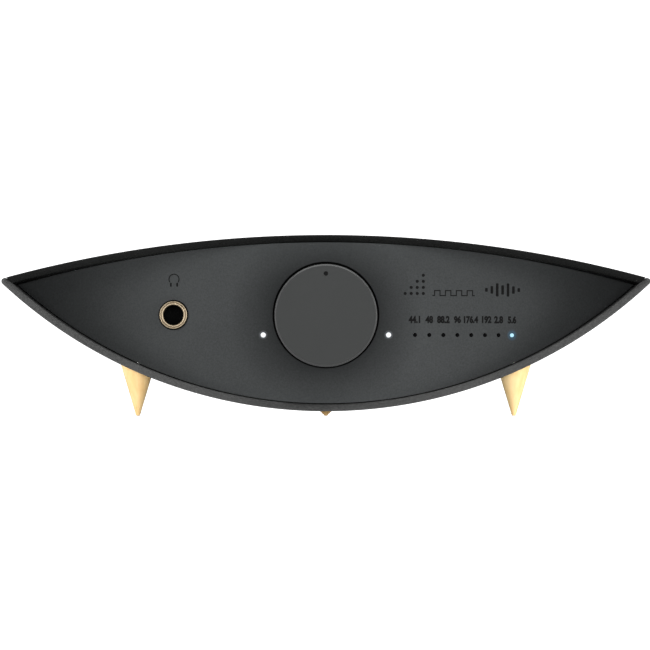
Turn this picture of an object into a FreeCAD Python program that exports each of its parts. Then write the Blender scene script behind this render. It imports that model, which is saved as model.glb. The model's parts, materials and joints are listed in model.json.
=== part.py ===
import FreeCAD, Part

import math
import os
from collections import namedtuple

import Sketcher
from FreeCAD import Placement, Rotation, Vector

# A desktop headphone amplifier and converter. Two bowed plates form a lens-shaped case on three
# wooden cone feet, closed by a barrel-curved front panel and a flat rear panel.
# Frame: X to the right, Y towards the back, Z up. Origin on the table under the middle of the
# object. Everything is in millimetres.

DIMENSIONS = {
    # case
    "overall_width": 208.0,
    "overall_height": 58.0,
    "tip_height": 43.1,
    "front_clearance": 1.4,
    "plate": 2.3,
    "rim_front": -72.0,
    "rim_rear": 80.0,
    "rear_ratio": 0.9,
    "tip_seam": 0.25,
    "bevel_depth": 1.5,
    "bevel_land": 0.35,
    "boss_radius": 3.5,
    "pilot_radius": 1.5,
    "screw_radius": 1.45,
    "screw_head_radius": 2.8,
    "screw_head_height": 1.8,
    "screw_socket_radius": 1.2,
    # front panel
    "panel_curve": 160.0,
    "panel_wall": 2.5,
    "panel_recess": 0.6,
    "panel_gap": 0.3,
    "panel_gap_top": 0.12,
    "axis_height": 32.06,
    "well_radius": 17.1,
    "well_wall": 1.5,
    "well_floor_front": -66.0,
    "well_floor": 1.5,
    "tab_width": 8.0,
    "tab_wall": 2.0,
    # rear panel
    "rear_panel_face": 71.0,
    "rear_panel_wall": 2.0,
    # feet
    "foot_spread": 60.7,
    "foot_front_y": -50.0,
    "foot_rear_y": 46.0,
    "foot_tip_radius": 0.7,
    "foot_slope": 0.3,
    "foot_rear_slope": 1.05,
    # knob and potentiometer
    "knob_radius": 16.4,
    "knob_face": -80.0,
    "knob_back": -67.2,
    "knob_wall": 1.8,
    "knob_front_wall": 2.4,
    "knob_chamfer": 0.45,
    "marker_radius": 0.73,
    "marker_offset": 13.4,
    "shaft_radius": 3.0,
    "shaft_play": 0.05,
    "bushing_radius": 3.45,
    # headphone socket
    "jack_x": -49.0,
    "jack_height": 32.4,
    "jack_face": -65.7,
    "jack_ring_radius": 4.5,
    "jack_bore_radius": 3.2,
    # lights
    "light_height": 25.95,
    "status_x": 20.1,
    "status_radius": 0.8,
    "rate_first": 28.75,
    "rate_pitch": 4.664,
    "rate_radius": 0.62,
    # boards
    "board_bottom": 20.0,
    "board_wall": 1.6,
    "front_board_face": -53.6,
    # rear sockets
    "xlr_x": 39.0,
    "xlr_height": 34.0,
    "xlr_bore_radius": 8.1,
    "xlr_tube_radius": 11.5,
    "rca_x": 17.0,
    "rca_height": 32.0,
    "rca_sleeve_radius": 4.15,
    "rca_pin_bore": 1.65,
    "usb_width": 12.0,
    "usb_height": 11.0,
}

doc = FreeCAD.newDocument("desktop_dac")
sheet = doc.addObject("Spreadsheet::Sheet", "Dimensions")
for row, (alias, number) in enumerate(DIMENSIONS.items(), start=1):
    sheet.set(f"A{row}", alias)
    sheet.set(f"B{row}", str(number))
    sheet.setAlias(f"B{row}", alias)
doc.recompute()


class Size:
    """A length together with the spreadsheet expression that gives it."""

    def __init__(self, value, text):
        self.value = value
        self.text = text

    def __add__(self, other):
        other = as_size(other)
        return Size(self.value + other.value, f"({self.text} + {other.text})")

    def __sub__(self, other):
        other = as_size(other)
        return Size(self.value - other.value, f"({self.text} - {other.text})")

    def __mul__(self, other):
        other = as_size(other)
        return Size(self.value * other.value, f"({self.text} * {other.text})")

    def __truediv__(self, other):
        other = as_size(other)
        return Size(self.value / other.value, f"({self.text} / {other.text})")

    def __neg__(self):
        return Size(-self.value, f"(0 - {self.text})")

    __radd__ = __add__
    __rmul__ = __mul__

    def __rsub__(self, other):
        return as_size(other) - self


def as_size(number):
    """Give a plain number the same form as a named dimension."""
    if isinstance(number, Size):
        return number
    return Size(float(number), f"{float(number):.6f}")


def dim(alias):
    """The named dimension, read from the sheet."""
    return Size(float(sheet.get(alias)), f"Dimensions.{alias}")


def root(size):
    return Size(math.sqrt(size.value), f"sqrt({size.text})")


def sine(degrees):
    return Size(math.sin(math.radians(degrees.value)), f"sin({degrees.text})")


def bind(obj, path, size):
    """Tie one property of an object to the sheet."""
    obj.setExpression(path, as_size(size).text)


def place(obj, at, rotation=Rotation()):
    """Put an object at a point whose coordinates follow the sheet."""
    sizes = [as_size(value) for value in at]
    obj.Placement = Placement(Vector(*[size.value for size in sizes]), rotation)
    for axis, size in zip("xyz", sizes):
        bind(obj, f".Placement.Base.{axis}", size)
    return obj


TURN_TO = {"Z": Rotation(), "Y": Rotation(Vector(1, 0, 0), -90)}
names_used = {}


def unique(name):
    """A fresh internal name for a construction object."""
    names_used[name] = names_used.get(name, 0) + 1
    return f"{name}_{names_used[name]}"


def cylinder(radius, height, at, axis="Y"):
    """A round bar that runs from a point along an axis."""
    obj = doc.addObject("Part::Cylinder", unique("bar"))
    obj.Radius = as_size(radius).value
    obj.Height = as_size(height).value
    bind(obj, "Radius", radius)
    bind(obj, "Height", height)
    return place(obj, at, TURN_TO[axis])


def block(low, high):
    """A rectangular block between two corners."""
    obj = doc.addObject("Part::Box", unique("block"))
    for name, start, end in zip(("Length", "Width", "Height"), low, high):
        size = as_size(end) - start
        setattr(obj, name, size.value)
        bind(obj, name, size)
    return place(obj, low)


def middle_block(centre, sizes):
    """A rectangular block about a point of its bottom face."""
    x, y, z = [as_size(value) for value in centre]
    width, depth, height = [as_size(value) for value in sizes]
    low = (x - width / 2, y - depth / 2, z)
    return block(low, (x + width / 2, y + depth / 2, z + height))


def hexagon(radius, height, at, axis="Y"):
    """A six-sided bar that runs from a point along an axis."""
    obj = doc.addObject("Part::Prism", unique("hexagon"))
    obj.Polygon = 6
    obj.Circumradius = as_size(radius).value
    obj.Height = as_size(height).value
    bind(obj, "Circumradius", radius)
    bind(obj, "Height", height)
    return place(obj, at, TURN_TO[axis])


def gather(pieces):
    """Several shapes as one compound."""
    obj = doc.addObject("Part::Compound", unique("group"))
    obj.Links = pieces
    return obj


def cut(base, *tools):
    """Take the tools away from the base."""
    obj = doc.addObject("Part::Cut", unique("cut"))
    obj.Base = base
    obj.Tool = tools[0] if len(tools) == 1 else gather(list(tools))
    return obj


def fuse(*shapes):
    obj = doc.addObject("Part::MultiFuse", unique("union"))
    obj.Shapes = list(shapes)
    return obj


def overlap(first, second):
    obj = doc.addObject("Part::MultiCommon", unique("overlap"))
    obj.Shapes = [first, second]
    return obj


NODES = []


def node(name, obj):
    """Register a finished sub-part under its own label."""
    obj.Label = name
    NODES.append(obj)
    return obj


# Sketches and bodies

H_AXIS = -1
V_AXIS = -2
START = 1
END = 2
CENTRE = 3


def new_body(name="body"):
    return doc.addObject("PartDesign::Body", unique(name))


def new_sketch(body, role, offset=0.0):
    """A sketch on one of the body's own origin planes, moved along the plane's normal."""
    sketch = body.newObject("Sketcher::SketchObject", unique("sketch"))
    plane = [item for item in body.Origin.OriginFeatures if item.Role == role][0]
    sketch.AttachmentSupport = [(plane, "")]
    sketch.MapMode = "FlatFace"
    offset = as_size(offset)
    sketch.AttachmentOffset = Placement(Vector(0, 0, offset.value), Rotation())
    bind(sketch, ".AttachmentOffset.Base.z", offset)
    return sketch


def hold(sketch, kind, geometry, point, size):
    """Fix one coordinate of a sketch point, bound to the sheet."""
    size = as_size(size)
    if abs(size.value) < 1e-9:
        axis = V_AXIS if kind == "DistanceX" else H_AXIS
        sketch.addConstraint(Sketcher.Constraint("PointOnObject", geometry, point, axis))
        return
    index = sketch.addConstraint(Sketcher.Constraint(kind, -1, 1, geometry, point, size.value))
    bind(sketch, f"Constraints[{index}]", size)


def hold_radius(sketch, geometry, size):
    index = sketch.addConstraint(Sketcher.Constraint("Radius", geometry, as_size(size).value))
    bind(sketch, f"Constraints[{index}]", size)


def draw_polygon(sketch, corners):
    """A closed outline of straight lines, every corner bound to the sheet."""
    corners = [(as_size(x), as_size(y)) for x, y in corners]
    first = sketch.GeometryCount
    count = len(corners)
    for start, end in zip(corners, corners[1:] + corners[:1]):
        sketch.addGeometry(Part.LineSegment(Vector(start[0].value, start[1].value, 0),
                                            Vector(end[0].value, end[1].value, 0)))
    for index in range(count):
        following = first + (index + 1) % count
        sketch.addConstraint(Sketcher.Constraint("Coincident", first + index, END, following, START))
    for index, (x, y) in enumerate(corners):
        hold(sketch, "DistanceX", first + index, START, x)
        hold(sketch, "DistanceY", first + index, START, y)


def draw_circle(sketch, x, y, radius):
    circle = Part.Circle(Vector(as_size(x).value, as_size(y).value, 0), Vector(0, 0, 1),
                         as_size(radius).value)
    index = sketch.addGeometry(circle)
    hold(sketch, "DistanceX", index, CENTRE, x)
    hold(sketch, "DistanceY", index, CENTRE, y)
    hold_radius(sketch, index, radius)


def padded(role, outline, length, at=(0, 0, 0), offset=0.0, holes=()):
    """A body made by padding an outline, with round holes given as (x, y, radius)."""
    body = new_body()
    sketch = new_sketch(body, role, offset)
    draw_polygon(sketch, outline)
    for x, y, radius in holes:
        draw_circle(sketch, x, y, radius)
    pad = body.newObject("PartDesign::Pad", unique("pad"))
    pad.Profile = sketch
    pad.Length = as_size(length).value
    bind(pad, "Length", length)
    body.Tip = pad
    return place(body, at)


def turned(outline, at, axis="Y"):
    """A body of revolution. The outline is a list of (distance along the axis, radius)."""
    body = new_body("turned")
    if axis == "Y":
        sketch = new_sketch(body, "YZ_Plane")
        draw_polygon(sketch, outline)
        axis_name = "H_Axis"
    else:
        sketch = new_sketch(body, "XZ_Plane")
        draw_polygon(sketch, [(radius, along) for along, radius in outline])
        axis_name = "V_Axis"
    revolution = body.newObject("PartDesign::Revolution", unique("revolution"))
    revolution.Profile = sketch
    revolution.ReferenceAxis = (sketch, [axis_name])
    revolution.Angle = 360
    body.Tip = revolution
    return place(body, at)


SCREW_CHAMFER = 0.35
SOCKET_SHARE = 0.6


def screw(at, length, axis="Z", direction=1):
    """A cap screw with a six-sided socket. The point is under the head, the shank runs from it."""
    length = as_size(length)
    head = dim("screw_head_height")
    radius = dim("screw_head_radius")
    shank = dim("screw_radius")
    outline = [(length * direction, 0), (length * direction, shank - SCREW_CHAMFER),
               ((length - SCREW_CHAMFER) * direction, shank), (0, shank), (0, radius),
               (-(head - SCREW_CHAMFER) * direction, radius),
               (-head * direction, radius - SCREW_CHAMFER), (-head * direction, 0)]
    blank = turned(outline, at, axis)
    depth = head * SOCKET_SHARE
    along = -head * direction if direction > 0 else head - depth
    spot = {"Z": (at[0], at[1], as_size(at[2]) + along), "Y": (at[0], as_size(at[1]) + along, at[2])}
    return cut(blank, hexagon(dim("screw_socket_radius"), depth, spot[axis], axis))


# The two bowed plates

def ratio(y):
    """How far the section at y has shrunk towards the line of the tips."""
    travel = (as_size(y) - dim("rim_front")) / (dim("rim_rear") - dim("rim_front"))
    return 1 - (1 - dim("rear_ratio")) * travel


def arc_radius(half_chord, rise):
    return (half_chord * half_chord + rise * rise) / (rise * 2)


def lower_arc(y):
    """Radius and centre height of the lower plate's middle surface at y."""
    half_chord = (dim("overall_width") - dim("plate")) / 2
    drop = (dim("tip_height") - dim("front_clearance") - dim("plate") / 2) * ratio(y)
    radius = arc_radius(half_chord, drop)
    return radius, dim("tip_height") - drop + radius


def upper_arc(y):
    """Radius and centre height of the top plate's middle surface at y."""
    half_chord = (dim("overall_width") - dim("plate")) / 2
    rise = (dim("overall_height") - dim("plate") / 2 - dim("tip_height")) * ratio(y)
    radius = arc_radius(half_chord, rise)
    return radius, dim("tip_height") + rise - radius


def crossing(first, second):
    """Where two circles centred on the middle plane meet, on the right-hand side."""
    r1, c1 = first[0].value, first[1].value
    r2, c2 = second[0].value, second[1].value
    height = (r1 * r1 - r2 * r2 - c1 * c1 + c2 * c2) / (2 * (c2 - c1))
    return Vector(math.sqrt(r1 * r1 - (height - c1) ** 2), height, 0)


def mirrored(point):
    return Vector(-point.x, point.y, 0)


def add_arc(sketch, circle, start, end):
    """An arc of a centred circle, anticlockwise from start to end, bound to the sheet."""
    radius, centre = circle
    middle = Vector(0, centre.value, 0)
    angles = [math.atan2(point.y - middle.y, point.x - middle.x) for point in (start, end)]
    arc = Part.ArcOfCircle(Part.Circle(middle, Vector(0, 0, 1), radius.value), *angles)
    index = sketch.addGeometry(arc)
    hold(sketch, "DistanceX", index, CENTRE, 0)
    hold(sketch, "DistanceY", index, CENTRE, centre)
    hold_radius(sketch, index, radius)
    return index


def join(sketch, first, first_point, second, second_point):
    sketch.addConstraint(Sketcher.Constraint("Coincident", first, first_point, second, second_point))


def lower_plate_section(body, y):
    """Section of the lower plate: two arcs joined by full-round ends."""
    radius, centre = lower_arc(y)
    half = dim("plate") / 2
    outer, inner = (radius + half, centre), (radius - half, centre)
    tip = Vector((dim("overall_width") / 2 - half).value, dim("tip_height").value, 0)
    middle = Vector(0, centre.value, 0)
    outward = (tip - middle).normalize()
    outer_end = middle + outward * outer[0].value
    inner_end = middle + outward * inner[0].value
    sketch = new_sketch(body, "XZ_Plane", -as_size(y))
    low = add_arc(sketch, outer, mirrored(outer_end), outer_end)
    high = add_arc(sketch, inner, mirrored(inner_end), inner_end)
    angle = math.atan2(outward.y, outward.x)
    round_right = Part.ArcOfCircle(Part.Circle(tip, Vector(0, 0, 1), half.value),
                                   angle, angle + math.pi)
    round_left = Part.ArcOfCircle(Part.Circle(mirrored(tip), Vector(0, 0, 1), half.value),
                                  -angle, math.pi - angle)
    right = sketch.addGeometry(round_right)
    left = sketch.addGeometry(round_left)
    for first, first_point, second, second_point in ((low, END, right, START), (high, END, right, END),
                                                     (high, START, left, START), (low, START, left, END)):
        sketch.addConstraint(Sketcher.Constraint("Tangent", first, first_point, second, second_point))
    hold(sketch, "DistanceY", right, CENTRE, dim("tip_height"))
    hold(sketch, "DistanceY", left, CENTRE, dim("tip_height"))
    return sketch


def top_plate_section(body, y):
    """Section of the top plate: two arcs cut off along the lower plate's inner face."""
    radius, centre = upper_arc(y)
    half = dim("plate") / 2
    outer, inner = (radius + half, centre), (radius - half, centre)
    lower_radius, lower_centre = lower_arc(y)
    stop = (lower_radius - half - dim("tip_seam"), lower_centre)
    outer_end, inner_end = crossing(outer, stop), crossing(inner, stop)
    sketch = new_sketch(body, "XZ_Plane", -as_size(y))
    high = add_arc(sketch, outer, outer_end, mirrored(outer_end))
    low = add_arc(sketch, inner, inner_end, mirrored(inner_end))
    right = sketch.addGeometry(Part.LineSegment(outer_end, inner_end))
    left = sketch.addGeometry(Part.LineSegment(mirrored(outer_end), mirrored(inner_end)))
    circle = Part.Circle(Vector(0, stop[1].value, 0), Vector(0, 0, 1), stop[0].value)
    limit = sketch.addGeometry(circle, True)
    hold(sketch, "DistanceX", limit, CENTRE, 0)
    hold(sketch, "DistanceY", limit, CENTRE, stop[1])
    hold_radius(sketch, limit, stop[0])
    for line, arc_point in ((right, START), (left, END)):
        join(sketch, line, START, high, arc_point)
        join(sketch, line, END, low, arc_point)
        for point in (START, END):
            sketch.addConstraint(Sketcher.Constraint("PointOnObject", line, point, limit))
    return sketch


def lens_section(body, y, lower, upper):
    """Section bounded by a lower arc and an upper arc that meet in two points."""
    tip = crossing(lower, upper)
    sketch = new_sketch(body, "XZ_Plane", -as_size(y))
    low = add_arc(sketch, lower, mirrored(tip), tip)
    high = add_arc(sketch, upper, tip, mirrored(tip))
    join(sketch, low, END, high, START)
    join(sketch, low, START, high, END)
    return sketch


def segment_section(body, y, circle, chord_height):
    """Section bounded by one arc and a level chord."""
    radius, centre = circle
    above = as_size(chord_height).value > centre.value
    rise = as_size(chord_height) - centre
    reach = root(radius * radius - rise * rise)
    right = Vector(reach.value, as_size(chord_height).value, 0)
    ends = (right, mirrored(right)) if above else (mirrored(right), right)
    sketch = new_sketch(body, "XZ_Plane", -as_size(y))
    arc = add_arc(sketch, circle, *ends)
    chord = sketch.addGeometry(Part.LineSegment(ends[1], ends[0]))
    join(sketch, arc, END, chord, START)
    join(sketch, arc, START, chord, END)
    hold(sketch, "DistanceY", chord, START, chord_height)
    hold(sketch, "DistanceY", chord, END, chord_height)
    return sketch


def loft(body, kind, profile, section):
    """A straight-sided loft between two sections, added to or cut from the body."""
    feature = body.newObject(f"PartDesign::{kind}Loft", unique("loft"))
    feature.Profile = profile
    feature.Sections = [section]
    feature.Ruled = True
    body.Tip = feature
    return feature


BEVELS = (("rim_front", 1), ("rim_rear", -1))
LOWER_CHORD = 46.0
UPPER_CHORD = 30.0


def bevel_rims(body, arc, chord_height):
    """Slope both end faces of a plate inwards, leaving a narrow land on the outside."""
    half = dim("plate") / 2
    for rim, inward in BEVELS:
        face = dim(rim)
        deep = face + dim("bevel_depth") * inward
        outer = arc(face)
        inner = arc(deep)
        wide = (outer[0] + half - dim("bevel_land"), outer[1])
        narrow = (inner[0] - half, inner[1])
        loft(body, "Subtractive", segment_section(body, face, wide, chord_height),
             segment_section(body, deep, narrow, chord_height))


def bowed_plate(section, arc, chord_height):
    """One of the two plates, lofted from the front rim to the rear rim."""
    body = new_body("plate")
    loft(body, "Additive", section(body, dim("rim_front")), section(body, dim("rim_rear")))
    bevel_rims(body, arc, chord_height)
    return body


def space_inside(arc, chord_height):
    """The space that a plate's middle surface encloses, used to end bosses in the plate."""
    body = new_body("space")
    loft(body, "Additive", segment_section(body, dim("rim_front"), arc(dim("rim_front")), chord_height),
         segment_section(body, dim("rim_rear"), arc(dim("rim_rear")), chord_height))
    return body


def outer_space():
    """The space inside the lower plate's outer face, used to cope the feet."""
    body = new_body("space")
    sections = []
    for rim, _ in BEVELS:
        radius, centre = lower_arc(dim(rim))
        circle = (radius + dim("plate") / 2, centre)
        sections.append(segment_section(body, dim(rim), circle, LOWER_CHORD))
    loft(body, "Additive", *sections)
    return body


def inner_lens():
    """The lens-shaped room between the plates that the panels fill, less a gap all round."""
    body = new_body("room")
    low_inset = dim("plate") / 2 + dim("panel_gap")
    high_inset = dim("plate") / 2 + dim("panel_gap_top")
    sections = []
    for rim, _ in BEVELS:
        low, high = lower_arc(dim(rim)), upper_arc(dim(rim))
        low, high = (low[0] - low_inset, low[1]), (high[0] - high_inset, high[1])
        sections.append(lens_section(body, dim(rim), low, high))
    loft(body, "Additive", *sections)
    return body


# Places shared by several pieces

Foot = namedtuple("Foot", "name side y boss_top cone_top pilot_bottom slope")
FEET = [
    Foot("foot_front_left", -1, "foot_front_y", 19.5, 22.0, 8.0, "foot_slope"),
    Foot("foot_front_right", 1, "foot_front_y", 19.5, 22.0, 8.0, "foot_slope"),
    Foot("foot_rear", 0, "foot_rear_y", 9.0, 8.0, 2.6, "foot_rear_slope"),
]
FOOT_BOSS_RADIUS = 5.0
BOARD_HOLES = [(-34, -46), (34, -46), (-46, 36), (46, 36)]
COVER_POSTS = [(-74, -28), (74, -28), (-74, 48), (74, 48)]
COVER_SEAT = 30.0
COVER_ROOF = 26.5
COVER_POST_RADIUS = 4.5
COVER_PILOT = 12.0
PANEL_TABS = [(-24, -61.5, 9.0), (24, -61.5, 9.0)]
REAR_TABS = [(-24, 62.0, 12.5), (24, 62.0, 12.5)]
FRONT_BOARD_POSTS = [(-30, 42), (30, 42), (56, 40)]
FRONT_BOARD_POST_RADIUS = 3.0
SCREW_PLAY = 0.2
HEAD_PLAY = 0.5
BOARD_SCREW = 6.5
BOARD_PILOT = 6.0
TAB_SCREW = 4.5
TAB_PILOT = 3.0
FRONT_BOARD_SCREW = 6.0
FRONT_BOARD_PILOT = 5.2
COVER_SCREW = 14.0
XLR_SCREW = 7.0


def foot_place(foot):
    return dim("foot_spread") * foot.side, dim(foot.y)


def posts(radius, height, places, bottom=0):
    """Upright round bars of one height at several places."""
    return [cylinder(radius, height, (x, y, bottom), "Z") for x, y in places]


def lower_shell():
    plate = bowed_plate(lower_plate_section, lower_arc, LOWER_CHORD)
    tabs = PANEL_TABS + REAR_TABS
    board = dim("board_bottom")
    bosses = posts(dim("boss_radius"), board, BOARD_HOLES)
    bosses += [cylinder(dim("boss_radius"), top, (x, y, 0), "Z") for x, y, top in tabs]
    bosses += posts(COVER_POST_RADIUS, COVER_SEAT, COVER_POSTS)
    bosses += [cylinder(FOOT_BOSS_RADIUS, foot.boss_top, (*foot_place(foot), 0), "Z") for foot in FEET]
    inside = overlap(gather(bosses), space_inside(lower_arc, LOWER_CHORD))
    pilot = dim("pilot_radius")
    holes = posts(pilot, BOARD_PILOT, BOARD_HOLES, board - BOARD_PILOT)
    holes += [cylinder(pilot, TAB_PILOT, (x, y, top - TAB_PILOT), "Z") for x, y, top in tabs]
    holes += posts(pilot, COVER_SEAT, COVER_POSTS)
    holes += posts(dim("screw_head_radius") + HEAD_PLAY, COVER_ROOF, COVER_POSTS)
    holes += [cylinder(pilot, foot.boss_top, (*foot_place(foot), 0), "Z") for foot in FEET]
    node("lower_shell", cut(fuse(plate, inside), *holes))


def top_cover():
    plate = bowed_plate(top_plate_section, upper_arc, UPPER_CHORD)
    columns = posts(COVER_POST_RADIUS, dim("overall_height") - COVER_SEAT, COVER_POSTS, COVER_SEAT)
    inside = overlap(gather(columns), space_inside(upper_arc, UPPER_CHORD - 2))
    holes = posts(dim("pilot_radius"), COVER_PILOT, COVER_POSTS, COVER_SEAT)
    node("top_cover", cut(fuse(plate, inside), *holes))


def panel_face(x):
    """The y of the front panel's outer face at x."""
    x = as_size(x)
    curve = dim("panel_curve")
    return panel_centre() - root(curve * curve - x * x)


def panel_centre():
    return dim("rim_front") + dim("panel_recess") + dim("panel_curve")


RATE_COUNT = 8


def rate_places():
    """Places of the row of small lights, evenly spaced along the panel's curve."""
    places = []
    for index in range(RATE_COUNT):
        arc = dim("rate_first") + dim("rate_pitch") * index
        places.append(dim("panel_curve") * sine(arc / dim("panel_curve") * math.degrees(1)))
    return places


JACK_PLAY = 0.35
BUSHING_PLAY = 0.25
STATUS_PLAY = 0.05
RATE_PLAY = 0.04
WELL_LAP = 0.4


def front_panel():
    curve, wall = dim("panel_curve"), dim("panel_wall")
    height = dim("overall_height")
    barrel = cut(cylinder(curve, height, (0, panel_centre(), 0), "Z"),
                 cylinder(curve - wall, height, (0, panel_centre(), 0), "Z"))
    skin = overlap(inner_lens(), barrel)
    axis = dim("axis_height")
    floor_back = dim("well_floor_front") + dim("well_floor")
    well_start = panel_face(0) + wall - WELL_LAP
    well = cylinder(dim("well_radius") + dim("well_wall"), floor_back - well_start, (0, well_start, axis))
    parts = [skin, well]
    for x, z in FRONT_BOARD_POSTS:
        start = panel_face(x) + wall / 2
        parts.append(cylinder(FRONT_BOARD_POST_RADIUS, dim("front_board_face") - start, (x, start, z)))
    half = dim("tab_width") / 2
    for x, y, bottom in PANEL_TABS:
        start = panel_face(x) + wall / 2
        parts.append(block((x - half, start, bottom), (x + half, y + half, bottom + dim("tab_wall"))))
    node("front_panel", cut(fuse(*parts), *front_panel_holes()))


def front_panel_holes():
    """The knob's well, and holes for the bushings, the lights and the screws."""
    rim, floor = dim("rim_front"), dim("well_floor_front")
    axis, light_height = dim("axis_height"), dim("light_height")
    holes = [cylinder(dim("well_radius"), floor - rim, (0, rim, axis)),
             cylinder(dim("bushing_radius") + BUSHING_PLAY, dim("well_floor") + 2, (0, floor - 1, axis)),
             cylinder(dim("jack_ring_radius") + JACK_PLAY, 12, (dim("jack_x"), rim + 2, dim("jack_height")))]
    for side in (-1, 1):
        place_of = (dim("status_x") * side, rim - 1, light_height)
        holes.append(cylinder(dim("status_radius") + STATUS_PLAY, 8, place_of))
    for x in rate_places():
        holes.append(cylinder(dim("rate_radius") + RATE_PLAY, 16, (x, rim, light_height)))
    for x, z in FRONT_BOARD_POSTS:
        start = dim("front_board_face") - FRONT_BOARD_PILOT
        holes.append(cylinder(dim("pilot_radius"), FRONT_BOARD_PILOT, (x, start, z)))
    return holes + tab_holes(PANEL_TABS)


def tab_holes(tabs):
    """Clearance holes through the screw tabs of a panel."""
    return [cylinder(dim("pilot_radius") + SCREW_PLAY, dim("tab_wall") + 2, (x, y, bottom - 1), "Z")
            for x, y, bottom in tabs]


def rear_panel():
    face = dim("rear_panel_face")
    back = face - dim("rear_panel_wall")
    reach = dim("overall_width") / 2
    slab = overlap(inner_lens(), block((-reach, back, 0), (reach, face, dim("overall_height"))))
    half = dim("tab_width") / 2
    tabs = [block((x - half, y - half, bottom), (x + half, back + 1, bottom + dim("tab_wall")))
            for x, y, bottom in REAR_TABS]
    usb_half = dim("usb_width") / 2 + SOCKET_PLAY
    usb_low = board_top() + BOARD_PLAY - SOCKET_PLAY
    usb_high = usb_low + dim("usb_height") + SOCKET_PLAY * 2
    holes = [block((-usb_half, back - 1, usb_low), (usb_half, face + 1, usb_high))]
    for side in (-1, 1):
        tube, sleeve = dim("xlr_tube_radius") + SOCKET_PLAY, dim("rca_sleeve_radius") + SOCKET_PLAY
        holes.append(cylinder(tube, 6, (dim("xlr_x") * side, back - 2, dim("xlr_height"))))
        holes.append(cylinder(sleeve, 6, (dim("rca_x") * side, back - 2, dim("rca_height"))))
    holes += [cylinder(dim("pilot_radius"), 6, (x, back - 2, z)) for x, z in xlr_screw_places()]
    node("rear_panel", cut(fuse(slab, *tabs), *holes, *tab_holes(REAR_TABS)))


# Feet and fasteners

def feet():
    shell = outer_space()
    tip = dim("foot_tip_radius")
    for foot in FEET:
        place_of = foot_place(foot)
        top, slope = foot.cone_top, dim(foot.slope)
        outline = [(0, 0), (0, tip * 0.5), (tip * 0.3, tip), (top, tip + slope * top), (top, 0)]
        cone = turned(outline, (*place_of, 0), "Z")
        pilot = cylinder(dim("pilot_radius"), top, (*place_of, foot.pilot_bottom), "Z")
        node(foot.name, cut(cone, shell, pilot))


def screws(name, places, length, direction=-1, axis="Z"):
    """A set of like screws as one sub-part."""
    node(name, gather([screw(at, length, axis, direction) for at in places]))


def fasteners():
    foot_screws = []
    for foot in FEET:
        length = foot.boss_top - foot.pilot_bottom - SCREW_PLAY
        foot_screws.append(screw((*foot_place(foot), foot.boss_top), length, "Z", -1))
    node("foot_screws", gather(foot_screws))
    wall = dim("tab_wall")
    back = dim("front_board_face") + dim("board_wall")
    flange = dim("rear_panel_face") + XLR_FLANGE
    screws("cover_screws", [(x, y, COVER_ROOF) for x, y in COVER_POSTS], COVER_SCREW, 1)
    screws("board_screws", [(x, y, board_top()) for x, y in BOARD_HOLES], BOARD_SCREW)
    screws("panel_screws", [(x, y, bottom + wall) for x, y, bottom in PANEL_TABS + REAR_TABS], TAB_SCREW)
    screws("front_board_screws", [(x, back, z) for x, z in FRONT_BOARD_POSTS], FRONT_BOARD_SCREW, axis="Y")
    screws("xlr_screws", [(x, flange, z) for x, z in xlr_screw_places()], XLR_SCREW, axis="Y")


# Volume control

CLOSE_FIT = 0.02
MARKER_DEPTH = 0.4
SHAFT_TIP = -76.5
SHAFT_END = -61.7
CORE_END = -70.0
CORE_FLANGE = 1.8
BUSHING_TIP = -69.0


def knob():
    axis = dim("axis_height")
    face, back = dim("knob_face"), dim("knob_back")
    radius, chamfer = dim("knob_radius"), dim("knob_chamfer")
    inner = face + dim("knob_front_wall")
    hollow = radius - dim("knob_wall")
    outline = [(face, 0), (face, radius - chamfer), (face + chamfer, radius), (back, radius),
               (back, hollow), (inner, hollow), (inner, 0)]
    cap = turned(outline, (0, 0, axis))
    marker = cylinder(dim("marker_radius"), MARKER_DEPTH, (0, face, axis + dim("marker_offset")))
    node("knob_cap", cut(cap, marker))
    shaft = dim("shaft_radius")
    bore, bore_end = shaft + CLOSE_FIT, SHAFT_TIP - 0.1
    start, rim = inner + 0.05, hollow - 0.05
    outline = [(start, 0), (start, rim), (start + CORE_FLANGE, rim), (start + CORE_FLANGE, 5.5),
               (CORE_END, 4.8), (CORE_END, bore), (bore_end, bore), (bore_end, 0)]
    node("knob_core", turned(outline, (0, 0, axis)))
    chamfer = 0.4
    outline = [(SHAFT_TIP, 0), (SHAFT_TIP, shaft - chamfer), (SHAFT_TIP + chamfer, shaft),
               (SHAFT_END, shaft), (SHAFT_END, 0)]
    node("pot_shaft", turned(outline, (0, 0, axis)))


def potentiometer():
    axis = dim("axis_height")
    front = dim("well_floor_front") + dim("well_floor")
    bore = dim("shaft_radius") + dim("shaft_play")
    case = block((-8.5, front, axis - 9), (8.5, dim("front_board_face") - 0.1, axis + 8.5))
    node("pot_body", cut(case, cylinder(bore, 3.0, (0, front - 0.01, axis))))
    outer = dim("bushing_radius")
    outline = [(front, bore), (front, outer), (BUSHING_TIP + 0.2, outer), (BUSHING_TIP, outer - 0.2),
               (BUSHING_TIP, bore)]
    node("pot_bushing", turned(outline, (0, 0, axis)))
    washer_wall, nut_height = 0.5, 2.0
    washer_face = dim("well_floor_front") - washer_wall
    hole = cylinder(outer + 0.05, 1, (0, washer_face - 0.2, axis))
    node("pot_washer", cut(cylinder(6.2, washer_wall, (0, washer_face, axis)), hole))
    nut_face = washer_face - nut_height
    thread = cylinder(outer + CLOSE_FIT, 3, (0, nut_face - 0.5, axis))
    node("pot_nut", cut(hexagon(5.77, nut_height, (0, nut_face, axis)), thread))


# Headphone socket

JACK_BUSHING_END = -55.8
JACK_BODY_FRONT = -57.8
JACK_BODY_BACK = -31.0
JACK_HALF_WIDTH = 8.0
JACK_HEAD_ROOM = 7.7


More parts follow.
